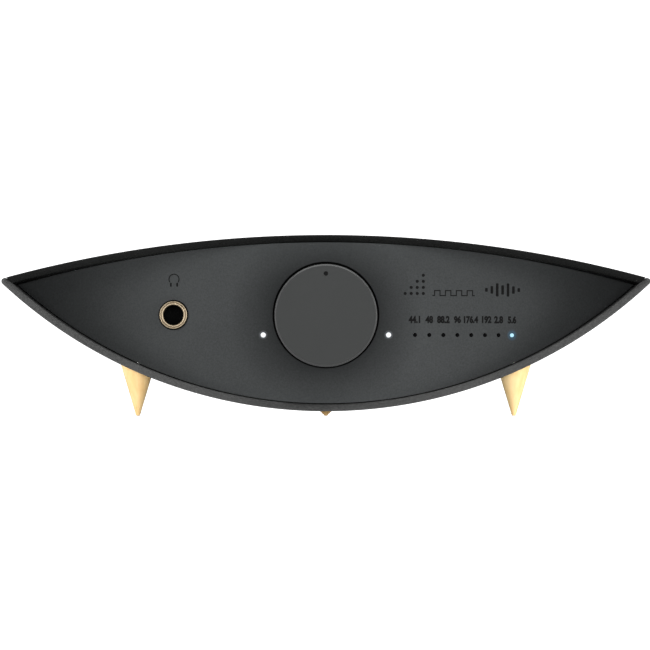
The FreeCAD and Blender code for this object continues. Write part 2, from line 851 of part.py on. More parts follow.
def headphone_socket():
    x, z = dim("jack_x"), dim("jack_height")
    face, outer, bore = dim("jack_face"), dim("jack_ring_radius"), dim("jack_bore_radius")
    end = JACK_BUSHING_END
    outline = [(face + 0.25, bore), (face, bore + 0.25), (face, outer - 0.72), (face + 0.3, outer - 0.62),
               (face + 0.3, outer - 0.5), (face + 0.1, outer - 0.4), (face + 0.1, outer - 0.18),
               (face + 0.3, outer), (end, outer), (end, bore)]
    node("jack_bushing", turned(outline, (x, 0, z)))
    front = JACK_BODY_FRONT
    top = z + JACK_HEAD_ROOM
    case = block((x - JACK_HALF_WIDTH, front, board_top() + BOARD_PLAY),
                 (x + JACK_HALF_WIDTH, JACK_BODY_BACK, top))
    seat = cylinder(outer + CLOSE_FIT, end - front + 0.01, (x, front - 0.01, z))
    way = cylinder(bore + 0.2, JACK_BODY_BACK - 2 - end, (x, end, z))
    node("jack_body", cut(case, seat, way))
    leaves = [block((x - 5 + 4 * index, -50 + 3 * index, top), (x - 3 + 4 * index, -36, top + 0.5))
              for index in range(3)]
    node("jack_contacts", gather(leaves))


# Lights

LED_DEPTH = 1.0
LED_HALF_HEIGHT = 0.6
STATUS_PROUD = 0.05
RATE_RECESS = 0.3


def led(x, half_width):
    """A lamp on the front board, behind a light pipe."""
    board, height = dim("front_board_face"), dim("light_height")
    return block((x - half_width, board - LED_DEPTH, height - LED_HALF_HEIGHT),
                 (x + half_width, board, height + LED_HALF_HEIGHT))


def lights():
    lamp_face = dim("front_board_face") - LED_DEPTH
    height = dim("light_height")
    status, status_leds = [], []
    for side in (-1, 1):
        x = dim("status_x") * side
        face = panel_face(x) - STATUS_PROUD
        status.append(cylinder(dim("status_radius"), lamp_face - face, (x, face, height)))
        status_leds.append(led(x, 1.0))
    node("status_light_pipes", gather(status))
    rate, rate_leds = [], []
    for x in rate_places():
        face = panel_face(x) + RATE_RECESS
        rate.append(cylinder(dim("rate_radius"), lamp_face - face, (x, face, height)))
        rate_leds.append(led(x, 0.8))
    node("rate_light_pipes", gather(rate[:-1]))
    node("lit_light_pipe", rate[-1])
    node("status_leds", gather(status_leds))
    node("rate_leds", gather(rate_leds))


# Boards and what they carry

BOARD_PLAY = 0.1
SOCKET_PLAY = 0.2


def board_top():
    return dim("board_bottom") + dim("board_wall")


def main_board():
    outline = [(-55, -56), (55, -56), (55, 10), (50, 64), (-50, 64), (-55, 10)]
    holes = [(x, y, dim("pilot_radius") + SCREW_PLAY) for x, y in BOARD_HOLES]
    at = (0, 0, dim("board_bottom"))
    node("main_board", padded("XY_Plane", outline, dim("board_wall"), at, holes=holes))


def front_board():
    back = dim("front_board_face") + dim("board_wall")
    outline = [(-36, 22.6), (64, 22.6), (64, 42), (58, 46), (-36, 46)]
    holes = [(x, z, dim("pilot_radius") + SCREW_PLAY / 2) for x, z in FRONT_BOARD_POSTS]
    node("front_board", padded("XZ_Plane", outline, dim("board_wall"), offset=-back, holes=holes))


def ribbon():
    """A flat cable that leaves the front board level and bends down to the main board."""
    back = dim("front_board_face") + dim("board_wall")
    x, width = 20.0, 12.0
    bend, wall = 5.0, 0.4
    high, start, corner = 31.0, back + 4, back + 8
    low = board_top() + 4
    body = new_body("ribbon")
    sketch = new_sketch(body, "YZ_Plane", x - width / 2)
    across = (corner + bend).value
    outline = [(start, high), (corner, high), (across, high - bend), (across, low),
               (across - wall, low), (across - wall, high - bend), (corner, high - wall),
               (start, high - wall)]
    points = [Vector(as_size(y).value, as_size(z).value, 0) for y, z in outline]
    centre = Vector(corner.value, high - bend, 0)
    shapes = [Part.LineSegment(points[0], points[1]),
              Part.ArcOfCircle(Part.Circle(centre, Vector(0, 0, 1), bend), 0, math.pi / 2),
              Part.LineSegment(points[2], points[3]), Part.LineSegment(points[3], points[4]),
              Part.LineSegment(points[4], points[5]),
              Part.ArcOfCircle(Part.Circle(centre, Vector(0, 0, 1), bend - wall), 0, math.pi / 2),
              Part.LineSegment(points[6], points[7]), Part.LineSegment(points[7], points[0])]
    sketch.addGeometry(shapes)
    for first, first_end, second, second_end in ((0, END, 1, END), (1, START, 2, START), (2, END, 3, START),
                                                 (3, END, 4, START), (4, END, 5, START), (5, END, 6, START),
                                                 (6, END, 7, START), (7, END, 0, START)):
        join(sketch, first, first_end, second, second_end)
    for arc, radius in ((1, bend), (5, bend - wall)):
        hold(sketch, "DistanceX", arc, CENTRE, corner)
        hold(sketch, "DistanceY", arc, CENTRE, high - bend)
        hold_radius(sketch, arc, radius)
    for geometry, corner_of in ((0, outline[0]), (3, outline[3]), (4, outline[4]), (7, outline[7])):
        hold(sketch, "DistanceX", geometry, START, corner_of[0])
        hold(sketch, "DistanceY", geometry, START, corner_of[1])
    pad = body.newObject("PartDesign::Pad", unique("pad"))
    pad.Profile = sketch
    pad.Length = width
    body.Tip = pad
    node("ribbon_cable", body)
    sockets = [block((x - 8, back, high - 2.2), (x + 8, start, high + 1.8)),
               block((x - 8, across - 2.2, board_top()), (x + 8, across + 1.8, low))]
    node("ribbon_sockets", gather(sockets))


def on_board(places, sizes):
    return gather([middle_block((x, y, board_top()), sizes) for x, y in places])


def both_sides(places):
    return [(x * side, y) for x, y in places for side in (-1, 1)]


def components():
    node("power_capacitors", gather([capacitor(x, y, 5.0, 16.0) for x, y in both_sides([(9, 26), (9, 12)])]))
    small = both_sides([(24, 4), (24, 14), (35, 4), (35, 14), (44, 9)])
    node("signal_capacitors", gather([capacitor(x, y, 3.15, 9.0) for x, y in small]))
    node("film_capacitors", on_board(both_sides([(22, 25), (28, 25), (34, 25)]), (3.5, 8.0, 9.0)))
    node("output_relays", on_board(both_sides([(24, 40)]), (10.0, 14.0, 10.0)))
    node("converter_chip", on_board([(0, -6)], (10.0, 10.0, 1.2)))
    node("usb_controller_chip", on_board([(0, -28)], (14.0, 14.0, 1.4)))
    node("amplifier_chips", on_board(both_sides([(20, -10), (32, -10), (20, -22)]), (5.0, 4.0, 1.6)))
    node("clock_oscillators", on_board(both_sides([(12, -17)]), (5.0, 7.0, 1.8)))
    node("regulators", on_board([(-8, 46), (8, 46), (0, 38)], (6.6, 6.2, 2.3)))
    node("power_inductors", on_board([(-42, -10), (42, -10)], (7.0, 7.0, 4.0)))


def capacitor(x, y, radius, height):
    """A can capacitor with a rolled groove near its foot."""
    groove = 0.35
    outline = [(0, 0), (0, radius), (height * 0.12, radius), (height * 0.16, radius - groove),
               (height * 0.2, radius), (height - 0.4, radius), (height, radius - 0.4), (height, 0)]
    return turned(outline, (x, y, board_top()), "Z")


# Rear sockets

XLR_FLANGE = 2.0
XLR_SEAT = 61.0
XLR_NECK = 58.0
XLR_BACK = 48.0
XLR_PIN_RADIUS = 1.2
XLR_PIN_TIP = 71.0
XLR_HALF_WIDTH = 13.0
XLR_HALF_HEIGHT = 15.5
XLR_CORNER = 2.5
XLR_PINS = [(-3.81, 2.2), (3.81, 2.2), (0.0, -4.4)]


def xlr_screw_places():
    """Two screws across one diagonal of each flange."""
    places = []
    for side in (-1, 1):
        for corner in (-1, 1):
            places.append((dim("xlr_x") * side + 9.5 * corner, dim("xlr_height") - 12.0 * corner))
    return places


def xlr_sockets():
    face = dim("rear_panel_face")
    bore, tube, height = dim("xlr_bore_radius"), dim("xlr_tube_radius"), dim("xlr_height")
    inserts, pins = [], []
    for name, side in (("xlr_housing_left", -1), ("xlr_housing_right", 1)):
        x = dim("xlr_x") * side
        flange = rounded_flange(x, height, face)
        neck = cylinder(tube, face - XLR_NECK + 0.5, (x, XLR_NECK, height))
        holes = [cylinder(bore, 20, (x, XLR_NECK - 2, height))]
        for screw_x, z in xlr_screw_places():
            holes.append(cylinder(dim("pilot_radius") + SCREW_PLAY, 4, (screw_x, face - 1, z)))
        node(name, cut(fuse(flange, neck), *holes))
        wide, narrow = tube - 0.3, bore - 0.05
        outline = [(XLR_BACK, 0), (XLR_BACK, wide), (XLR_NECK, wide), (XLR_NECK, narrow),
                   (XLR_SEAT, narrow), (XLR_SEAT, 0)]
        places = [(x + across, height + up) for across, up in XLR_PINS]
        ways = [cylinder(XLR_PIN_RADIUS + CLOSE_FIT, 30, (px, XLR_BACK - 8, pz)) for px, pz in places]
        inserts.append(cut(turned(outline, (x, 0, height)), *ways))
        pins += [xlr_pin(px, pz) for px, pz in places]
    node("xlr_inserts", gather(inserts))
    node("xlr_pins", gather(pins))


def xlr_pin(x, z):
    """One contact pin with a tapered tip."""
    start, radius = XLR_BACK + 1, XLR_PIN_RADIUS
    outline = [(start, 0), (start, radius), (XLR_PIN_TIP - 0.8, radius), (XLR_PIN_TIP, radius / 2),
               (XLR_PIN_TIP, 0)]
    return turned(outline, (x, 0, z))


def rounded_flange(x, height, face):
    """The square-cornered XLR flange with its corners rounded off."""
    flange = block((x - XLR_HALF_WIDTH, face, height - XLR_HALF_HEIGHT),
                   (x + XLR_HALF_WIDTH, face + XLR_FLANGE, height + XLR_HALF_HEIGHT))
    doc.recompute()
    rounded = doc.addObject("Part::Fillet", unique("rounded"))
    rounded.Base = flange
    edges = [index for index, edge in enumerate(flange.Shape.Edges, start=1)
             if abs(edge.tangentAt(edge.FirstParameter).y) > 0.9]
    rounded.Edges = [(index, XLR_CORNER, XLR_CORNER) for index in edges]
    return rounded


RCA_END = 79.3
RCA_WALL = 0.7
RCA_NECK_RADIUS = 3.95
RCA_RING_RADIUS = 5.8
RCA_RING_HEIGHT = 1.2
RCA_CHAMFER = 0.3


def rca_sockets():
    face = dim("rear_panel_face")
    back = face - dim("rear_panel_wall")
    outer, bore, height = dim("rca_sleeve_radius"), dim("rca_pin_bore"), dim("rca_height")
    inner, neck, end = outer - RCA_WALL, as_size(RCA_NECK_RADIUS), RCA_END
    shoulder = face + RCA_RING_HEIGHT + 0.1
    ring_top, ring_hole, ring_edge = face + RCA_RING_HEIGHT, neck + 0.03, RCA_RING_RADIUS - RCA_CHAMFER
    sleeve = [(back, inner), (back, neck), (shoulder, neck), (shoulder, outer), (end - RCA_CHAMFER, outer),
              (end, outer - RCA_CHAMFER), (end, inner)]
    core = [(back, bore), (back, inner - CLOSE_FIT), (end - 0.5, inner - CLOSE_FIT),
            (end - 0.5, bore + 0.4), (end - 0.9, bore)]
    ring = [(face, ring_hole), (face, RCA_RING_RADIUS), (ring_top - RCA_CHAMFER, RCA_RING_RADIUS),
            (ring_top, ring_edge), (ring_top, ring_hole)]
    bodies, sleeves, inserts = [], [], []
    for name, side in (("rca_ring_left", -1), ("rca_ring_right", 1)):
        x = dim("rca_x") * side
        bodies.append(block((x - 5.5, 55, board_top() + BOARD_PLAY), (x + 5.5, back, height + 6)))
        sleeves.append(turned(sleeve, (x, 0, height)))
        inserts.append(turned(core, (x, 0, height)))
        node(name, turned(ring, (x, 0, height)))
    node("rca_bodies", gather(bodies))
    node("rca_sleeves", gather(sleeves))
    node("rca_inserts", gather(inserts))


USB_FRONT = 55.5
USB_MOUTH = 71.8
USB_WALL = 0.4
USB_DEPTH = 9.3


def usb_socket():
    low = board_top() + BOARD_PLAY
    width, height = dim("usb_width"), dim("usb_height")
    half, wall = width / 2, USB_WALL
    case = block((-half, USB_FRONT, low), (half, USB_MOUTH, low + height))
    inner_low = (-half + wall, USB_FRONT + wall, low + wall)
    hollow = block(inner_low, (half - wall, USB_MOUTH + 1, low + height - wall))
    node("usb_shell", cut(case, hollow))
    middle, floor = low + height / 2, USB_MOUTH - USB_DEPTH
    core = block(inner_low, (half - wall, USB_MOUTH - 0.3, low + height - wall))
    mouth = block((-4.45, floor, middle - 4.1), (4.45, USB_MOUTH + 1, middle + 4.1))
    tongue = block((-2.8, floor - 0.5, middle - 1.6), (2.8, USB_MOUTH - 1.2, middle + 1.6))
    node("usb_core", fuse(cut(core, mouth), tongue))
    contacts = []
    for x in (-1.25, 1.25):
        for z in (middle - 1.8, middle + 1.6):
            contacts.append(block((x - 0.5, floor, z), (x + 0.5, USB_MOUTH - 2, z + 0.2)))
    node("usb_contacts", gather(contacts))


def check_and_write():
    """Stop if any object or sub-part is faulty, then write one file for each sub-part."""
    doc.recompute()
    for obj in doc.Objects:
        if "Invalid" in obj.State or "Error" in obj.State:
            raise RuntimeError(f"{obj.Name} ({obj.Label}) failed: {obj.State}")
    for obj in NODES:
        if obj.Shape.isNull() or not obj.Shape.isValid() or not obj.Shape.Solids:
            raise RuntimeError(f"{obj.Label} has no valid solid")
    os.makedirs("parts", exist_ok=True)
    for obj in NODES:
        obj.Shape.exportStep(f"parts/{obj.Label}.step")
        print(f"{obj.Label:24s} {len(obj.Shape.Solids):2d} solids {obj.Shape.Volume:10.1f} mm3")


for build in (lower_shell, top_cover, front_panel, rear_panel, feet, fasteners, knob, potentiometer,
              headphone_socket, lights, main_board, front_board, ribbon, components, xlr_sockets,
              rca_sockets, usb_socket):
    build()
check_and_write()
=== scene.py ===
import json
import math

import bmesh
import bpy
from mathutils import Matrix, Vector
from mathutils.geometry import delaunay_2d_cdt


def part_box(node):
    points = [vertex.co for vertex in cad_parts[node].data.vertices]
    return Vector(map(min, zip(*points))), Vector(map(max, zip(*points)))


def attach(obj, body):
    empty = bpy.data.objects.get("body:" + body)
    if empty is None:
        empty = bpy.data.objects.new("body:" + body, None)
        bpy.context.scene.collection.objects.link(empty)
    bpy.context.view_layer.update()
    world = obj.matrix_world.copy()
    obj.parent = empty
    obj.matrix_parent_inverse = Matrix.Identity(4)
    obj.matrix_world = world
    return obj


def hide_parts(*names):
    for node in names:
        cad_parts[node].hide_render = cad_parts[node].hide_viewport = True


# A desktop headphone amplifier and converter: two bowed plates, a barrel-curved front panel, a large
# knob and three wooden cone feet. Lengths are in millimetres until a mesh is made, then in metres.

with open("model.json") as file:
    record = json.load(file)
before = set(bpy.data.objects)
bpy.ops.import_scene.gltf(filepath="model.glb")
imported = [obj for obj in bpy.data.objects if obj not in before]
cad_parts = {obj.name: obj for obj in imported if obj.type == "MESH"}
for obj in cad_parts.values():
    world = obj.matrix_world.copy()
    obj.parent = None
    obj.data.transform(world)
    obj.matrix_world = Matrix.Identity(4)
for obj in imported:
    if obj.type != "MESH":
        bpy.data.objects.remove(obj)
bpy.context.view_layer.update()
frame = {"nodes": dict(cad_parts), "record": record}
MM = 0.001


def box(node):
    """Lowest and highest corner of a CAD node, in millimetres."""
    low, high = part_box(node)
    return low / MM, high / MM


def middle(node):
    low, high = box(node)
    return (low + high) / 2


# Driving sizes that the frame's boxes don't give by themselves. Two differ a little from the CAD:
# WELL_RISE follows the photograph, and TIP_SEAM closes a slit that would show from behind.

PLATE = 2.3
TIP_HEIGHT = 43.1
REAR_RATIO = 0.9
TIP_SEAM = 0.05
BEVEL_DEPTH = 1.5
BEVEL_LAND = 0.35
PANEL_CURVE = 160.0
PANEL_WALL = 2.5
PANEL_RECESS = 0.6
PANEL_GAP = 0.3
PANEL_GAP_TOP = 0.12
WELL_RADIUS = 17.1
WELL_RISE = 0.25
FOOT_SPREAD = 60.7
FOOT_TIP = 0.7
FOOT_SLOPE = 0.3
FOOT_REAR_SLOPE = 1.05
SCREW_HEIGHT = 1.8
SCREW_RADIUS = 2.8
SCREW_POCKET_RADIUS = 3.3
XLR_SCREW_X, XLR_SCREW_Z = 9.5, 12.0
HALVINGS = 40

shell_low, shell_high = box("lower_shell")
WIDTH = shell_high.x - shell_low.x
RIM_FRONT = shell_low.y
RIM_REAR = shell_high.y
LOWEST = shell_low.z
HIGHEST = box("top_cover")[1].z


# Curves of the case

def ratio(y):
    """How far the section at y has shrunk towards the line of the tips."""
    return 1 - (1 - REAR_RATIO) * (y - RIM_FRONT) / (RIM_REAR - RIM_FRONT)


def arc_radius(half_chord, rise):
    """Radius of the circle through both ends and the top of a bow."""
    return (half_chord * half_chord + rise * rise) / (rise * 2)


def lower_arc(y):
    """Radius and centre height of the lower shell's outer face at y."""
    drop = (TIP_HEIGHT - LOWEST - PLATE / 2) * ratio(y)
    radius = arc_radius((WIDTH - PLATE) / 2, drop)
    return radius + PLATE / 2, TIP_HEIGHT - drop + radius


def upper_arc(y):
    """Radius and centre height of the top cover's outer face at y."""
    rise = (HIGHEST - PLATE / 2 - TIP_HEIGHT) * ratio(y)
    radius = arc_radius((WIDTH - PLATE) / 2, rise)
    return radius + PLATE / 2, TIP_HEIGHT + rise - radius


def crossing(first, second):
    """Where two circles centred on the middle plane meet, as (x, z) on the right."""
    (r1, c1), (r2, c2) = first, second
    z = (r1 * r1 - r2 * r2 - c1 * c1 + c2 * c2) / (2 * (c2 - c1))
    return math.sqrt(r1 * r1 - (z - c1) ** 2), z


def panel_centre():
    return RIM_FRONT + PANEL_RECESS + PANEL_CURVE


def panel_face(x):
    """The y of the front panel's outer face at x."""
    return panel_centre() - math.sqrt(PANEL_CURVE ** 2 - x * x)


def underside(x, y):
    """Height of the lower shell's outer face."""
    radius, centre = lower_arc(y)
    return centre - math.sqrt(radius * radius - x * x)


# Materials

def new_material(name):
    material = bpy.data.materials.new(name)
    material.use_nodes = True
    tree = material.node_tree
    return material, tree, tree.nodes["Principled BSDF"]


def add(tree, kind, **inputs):
    """A node with its inputs set, by name, or linked where the value is a socket."""
    node = tree.nodes.new(kind)
    for name, value in inputs.items():
        socket = node.inputs[name.replace("_", " ")]
        if isinstance(value, bpy.types.NodeSocket):
            tree.links.new(value, socket)
        else:
            socket.default_value = value
    return node


def coordinates(tree, scale=(1, 1, 1)):
    """The piece's own coordinates, stretched."""
    texture = tree.nodes.new("ShaderNodeTexCoord")
    mapping = add(tree, "ShaderNodeMapping", Vector=texture.outputs["Object"])
    mapping.inputs["Scale"].default_value = scale
    return mapping.outputs["Vector"]


def noise(tree, vector, scale, detail=3.0, roughness=0.5):
    node = add(tree, "ShaderNodeTexNoise", Vector=vector, Scale=scale, Detail=detail, Roughness=roughness)
    return node.outputs["Fac"]


def remap(tree, factor, low, high, start=0.3, end=0.7):
    node = add(tree, "ShaderNodeMapRange", Value=factor)
    for name, value in (("From Min", start), ("From Max", end), ("To Min", low), ("To Max", high)):
        node.inputs[name].default_value = value
    return node.outputs["Result"]


def ramp(tree, factor, stops):
    """A colour ramp through (position, colour) stops."""
    node = add(tree, "ShaderNodeValToRGB", Fac=factor)
    elements = node.color_ramp.elements
    while len(elements) < len(stops):
        elements.new(0.5)
    for element, (position, colour) in zip(elements, stops):
        element.position = position
        element.color = (*colour, 1.0)
    return node.outputs["Color"]


def vector_math(tree, operation, first, second, output="Vector"):
    """One step of vector arithmetic. Either value may be a socket or a constant."""
    node = tree.nodes.new("ShaderNodeVectorMath")
    node.operation = operation
    places = (node.inputs[0], node.inputs["Scale" if operation == "SCALE" else 1])
    for socket, value in zip(places, (first, second)):
        if isinstance(value, bpy.types.NodeSocket):
            tree.links.new(value, socket)
        else:
            socket.default_value = value
    return node.outputs[output]


def blended(tree, first, second, share):
    """The first value and the second one added up, the first by its share and the second by the rest."""
    rest = add(tree, "ShaderNodeMath")
    rest.operation = "MULTIPLY"
    tree.links.new(second, rest.inputs[0])
    rest.inputs[1].default_value = 1 - share
    total = add(tree, "ShaderNodeMath")
    total.operation = "MULTIPLY_ADD"
    tree.links.new(first, total.inputs[0])
    total.inputs[1].default_value = share
    tree.links.new(rest.outputs[0], total.inputs[2])
    return total.outputs[0]


def shade(colour, factor):
    """A colour made darker or lighter by a factor."""
    return tuple(min(1.0, channel * factor) for channel in colour)


def bump(tree, height, distance, strength=1.0, normal=None):
    node = add(tree, "ShaderNodeBump", Height=height, Distance=distance, Strength=strength)
    if normal is not None:
        tree.links.new(normal, node.inputs["Normal"])
    return node.outputs["Normal"]


def coated(name, colour, roughness=0.5, grain=2600.0, depth=0.000012, spread=0.09, specular=0.5):
    """Powder coat or spark-eroded plastic: a fine even grain over a faint drift of tone."""
    material, tree, shader = new_material(name)
    vector = coordinates(tree)
    drift = noise(tree, vector, 28.0, 3.0)
    fine = noise(tree, vector, grain, 2.0, 0.6)
    mixed = blended(tree, fine, drift, 0.6)
    stops = [(0.35, shade(colour, 1 - spread)), (0.65, shade(colour, 1 + spread))]
    tree.links.new(ramp(tree, mixed, stops), shader.inputs["Base Color"])
    tree.links.new(remap(tree, fine, roughness - 0.06, roughness + 0.08), shader.inputs["Roughness"])
    pits = add(tree, "ShaderNodeTexVoronoi", Vector=vector, Scale=grain * 0.55).outputs["Distance"]
    normal = bump(tree, pits, depth, 0.5)
    tree.links.new(bump(tree, fine, depth, 0.6, normal), shader.inputs["Normal"])
    shader.inputs["Specular IOR Level"].default_value = specular
    return material


def moulded(name, colour, roughness=0.35, spread=0.05, grain=1400.0, depth=0.000006, specular=0.5):
    """Plain moulded plastic with a slight unevenness."""
    material, tree, shader = new_material(name)
    vector = coordinates(tree)
    cloud = noise(tree, vector, 160.0, 4.0)
    stops = [(0.3, shade(colour, 1 - spread)), (0.7, shade(colour, 1 + spread))]
    tree.links.new(ramp(tree, cloud, stops), shader.inputs["Base Color"])
    tree.links.new(remap(tree, cloud, roughness - 0.05, roughness + 0.07), shader.inputs["Roughness"])
    fine = noise(tree, vector, grain, 2.0)
    tree.links.new(bump(tree, fine, depth, 0.5), shader.inputs["Normal"])
    shader.inputs["Specular IOR Level"].default_value = specular
    return material


def metal(name, colour, roughness=0.25, stretch=(1, 1, 1), scale=900.0, depth=0.000004):
    """Turned, plated or brushed metal. A stretch above one packs the scratches along that axis."""
    material, tree, shader = new_material(name)
    vector = coordinates(tree, stretch)
    scratches = noise(tree, vector, scale, 3.0, 0.65)
    stops = [(0.3, shade(colour, 0.86)), (0.7, shade(colour, 1.08))]
    tree.links.new(ramp(tree, scratches, stops), shader.inputs["Base Color"])
    tree.links.new(remap(tree, scratches, roughness - 0.07, roughness + 0.1), shader.inputs["Roughness"])
    tree.links.new(bump(tree, scratches, depth, 0.6), shader.inputs["Normal"])
    shader.inputs["Metallic"].default_value = 1.0
    return material


def turned_wood(name):
    """Pale straight-grained hardwood, the grain along the cone, with fine pores."""
    material, tree, shader = new_material(name)
    bands = noise(tree, coordinates(tree, (1.0, 1.0, 0.07)), 420.0, 5.0, 0.62)
    slow = noise(tree, coordinates(tree, (1.0, 1.0, 0.12)), 95.0, 2.0, 0.5)
    blend = blended(tree, bands, slow, 0.55)
    stops = [(0.34, (0.64, 0.39, 0.15)), (0.45, (0.69, 0.46, 0.20)), (0.55, (0.72, 0.52, 0.25)),
             (0.68, (0.75, 0.57, 0.30))]
    tree.links.new(ramp(tree, blend, stops), shader.inputs["Base Color"])
    tree.links.new(remap(tree, bands, 0.42, 0.58), shader.inputs["Roughness"])
    pores = noise(tree, coordinates(tree, (1.0, 1.0, 0.05)), 1800.0, 2.0, 0.7)
    tree.links.new(bump(tree, pores, 0.00003, 0.5), shader.inputs["Normal"])
    return material


def lit_lens(name, colour, strength):
    """A light pipe's lit end, slightly uneven."""
    material, tree, shader = new_material(name)
    cloud = noise(tree, coordinates(tree), 900.0, 2.0)
    stops = [(0.3, shade(colour, 0.85)), (0.7, colour)]
    tree.links.new(ramp(tree, cloud, stops), shader.inputs["Emission Color"])
    shader.inputs["Emission Strength"].default_value = strength
    shader.inputs["Base Color"].default_value = (*shade(colour, 0.08), 1.0)
    shader.inputs["Roughness"].default_value = 0.5
    return material


def circuit(name):
    """Green solder resist with fine tracks under it."""
    material, tree, shader = new_material(name)
    vector = coordinates(tree)
    tracks = add(tree, "ShaderNodeTexBrick", Vector=vector, Scale=260.0)
    tracks.inputs["Color1"].default_value = (0.012, 0.085, 0.035, 1)
    tracks.inputs["Color2"].default_value = (0.016, 0.105, 0.045, 1)
    tracks.inputs["Mortar"].default_value = (0.03, 0.16, 0.07, 1)
    tree.links.new(tracks.outputs["Color"], shader.inputs["Base Color"])
    cloud = noise(tree, vector, 500.0)
    tree.links.new(remap(tree, cloud, 0.25, 0.4), shader.inputs["Roughness"])
    tree.links.new(bump(tree, tracks.outputs["Fac"], 0.00003, 0.4), shader.inputs["Normal"])
    return material


CHARCOAL = (0.0282, 0.0298, 0.0302)
MATERIALS = {
    "shell": coated("shell_coat", (0.0255, 0.0258, 0.0255), 0.5, 1700.0, 0.00004, 0.45, 0.2),
    # The cover's coat is near black, far darker than the shell's: partly the cover's own black, partly
    # painted shade for its front rim, which faces down.
    "cover": coated("cover_black_and_painted_shade", (0.0034, 0.0036, 0.0035), 0.5, 1700.0, 0.00004, 0.55, 0.06),
    "front_panel": coated("panel_moulding", CHARCOAL, 0.75, 2000.0, 0.000014, 0.15, 0.0),
    "rear_panel": coated("rear_moulding", (0.028, 0.0285, 0.0285), 0.5, 2900.0, 0.000014, 0.12, 0.25),
    "wood": turned_wood("pale_wood"),
    "zinc_screws": metal("zinc_plate", (0.62, 0.62, 0.60), 0.3),
    "black_screws": metal("black_oxide", (0.05, 0.05, 0.052), 0.35),
    "knob": coated("knob_finish", (0.0128, 0.0136, 0.0134), 0.48, 2200.0, 0.000008, 0.1, 0.1),
    "black_plastic": moulded("black_plastic", (0.006, 0.006, 0.006), 0.4, specular=0.2),
    "steel": metal("ground_steel", (0.55, 0.55, 0.56), 0.3, (1, 12, 1)),
    "nickel": metal("nickel_plate", (0.34, 0.335, 0.315), 0.26),
    "brass": metal("turned_brass", (0.72, 0.52, 0.22), 0.3, (1, 14, 1)),
    "gold": metal("gold_plate", (0.56, 0.42, 0.24), 0.24, (1, 6, 1), 500.0),
    "lit_white": lit_lens("lit_white_lens", (0.95, 0.98, 1.0), 1.05),
    "dark_lens": moulded("smoked_lens", (0.0005, 0.0005, 0.0006), 0.5, specular=0.03),
    "lit_blue": lit_lens("lit_blue_lens", (0.46, 0.82, 1.0), 1.0),
    "led": moulded("lamp_package", (0.8, 0.74, 0.45), 0.3),
    "circuit_board": circuit("solder_resist"),
    "ribbon": moulded("flat_cable", (0.5, 0.51, 0.53), 0.5),
    "ivory_plastic": moulded("ivory_plastic", (0.78, 0.74, 0.6), 0.45),
    "capacitor_sleeve": moulded("capacitor_sleeve", (0.02, 0.022, 0.04), 0.25),
    "red_plastic": moulded("red_plastic", (0.24, 0.006, 0.006), 0.3, specular=0.25),
    "white_plastic": moulded("white_plastic", (0.34, 0.34, 0.33), 0.35, specular=0.25),
    "relay_case": moulded("relay_case", (0.72, 0.68, 0.6), 0.4),
    "chip": moulded("chip_package", (0.016, 0.016, 0.018), 0.55),
    "ferrite": moulded("ferrite", (0.05, 0.05, 0.052), 0.6),
    "xlr_metal": coated("black_chromate", (0.028, 0.028, 0.03), 0.36, 1800.0, 0.00001),
}
# Near black for the inside of the knob's well and of the socket and pot bodies: painted shade, standing for
# the dark deep in these hollows.
PAINTED_WELL_SHADE = moulded("painted_well_shade", (0.0012, 0.0012, 0.0012), 0.6, specular=0.04)
# A much darker copy of the gold, for the headphone socket's ring that faces the front light: painted shade
# that dims its bright reflection.
SHADED_SOCKET_GOLD = metal("socket_gold_shaded", (0.19, 0.153, 0.106), 0.4, (1, 16, 1), 700.0)
SLOT_OF = {part["node"]: part["material_slot"] for part in frame["record"]["subparts"]}
for node_name, cad_object in frame["nodes"].items():
    cad_object.data.materials.clear()
    cad_object.data.materials.append(MATERIALS[SLOT_OF[node_name]])
# The socket's and the pot's bodies take the same painted shade, so their bores show black.
for node_name in ("jack_body", "pot_body"):
    frame["nodes"][node_name].data.materials[0] = PAINTED_WELL_SHADE


# Mesh helpers

def placed(name, data):
    """A new object in the scene."""
    made = bpy.data.objects.new(name, data)
    bpy.context.scene.collection.objects.link(made)
    return made


def evaluated_mesh(made):
    """The object's mesh with its modifiers or its text settings applied."""
    bpy.context.view_layer.update()
    return bpy.data.meshes.new_from_object(made.evaluated_get(bpy.context.evaluated_depsgraph_get()))


def piece(name, vertices, faces, slot, body="chassis", sharp=35.0, bevel=0.0, stands_for=(), material=None):
    """A finished piece from vertices in millimetres, riding on a body."""
    mesh = bpy.data.meshes.new(name)
    mesh.from_pydata([Vector(v) * MM for v in vertices], [], faces)
    work = bmesh.new()
    work.from_mesh(mesh)
    bmesh.ops.remove_doubles(work, verts=work.verts, dist=0.002 * MM)
    bmesh.ops.dissolve_degenerate(work, edges=work.edges, dist=0.0005 * MM)
    bmesh.ops.recalc_face_normals(work, faces=work.faces)
    work.to_mesh(mesh)
    work.free()
    mesh.shade_smooth()
    mesh.set_sharp_from_angle(angle=math.radians(sharp))
    made = placed(name, mesh)
    mesh.materials.append(material or MATERIALS[slot])
    if bevel:
        round_edges(made, bevel)
    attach(made, body)
    if stands_for:
        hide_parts(*stands_for)
    return made


def round_edges(made, width, segments=3, limit=38.0):
    modifier = made.modifiers.new("rounded_edges", "BEVEL")
    modifier.width = width * MM
    modifier.segments = segments
    modifier.limit_method = "ANGLE"
    modifier.angle_limit = math.radians(limit)
    modifier.harden_normals = True
    modifier.miter_outer = "MITER_ARC"


def merge(*parts):
    """Join several (vertices, faces) lists into one."""
    vertices, faces = [], []
    for part_vertices, part_faces in parts:
        start = len(vertices)
        vertices += [tuple(vertex) for vertex in part_vertices]
        faces += [tuple(index + start for index in face) for face in part_faces]
    return vertices, faces


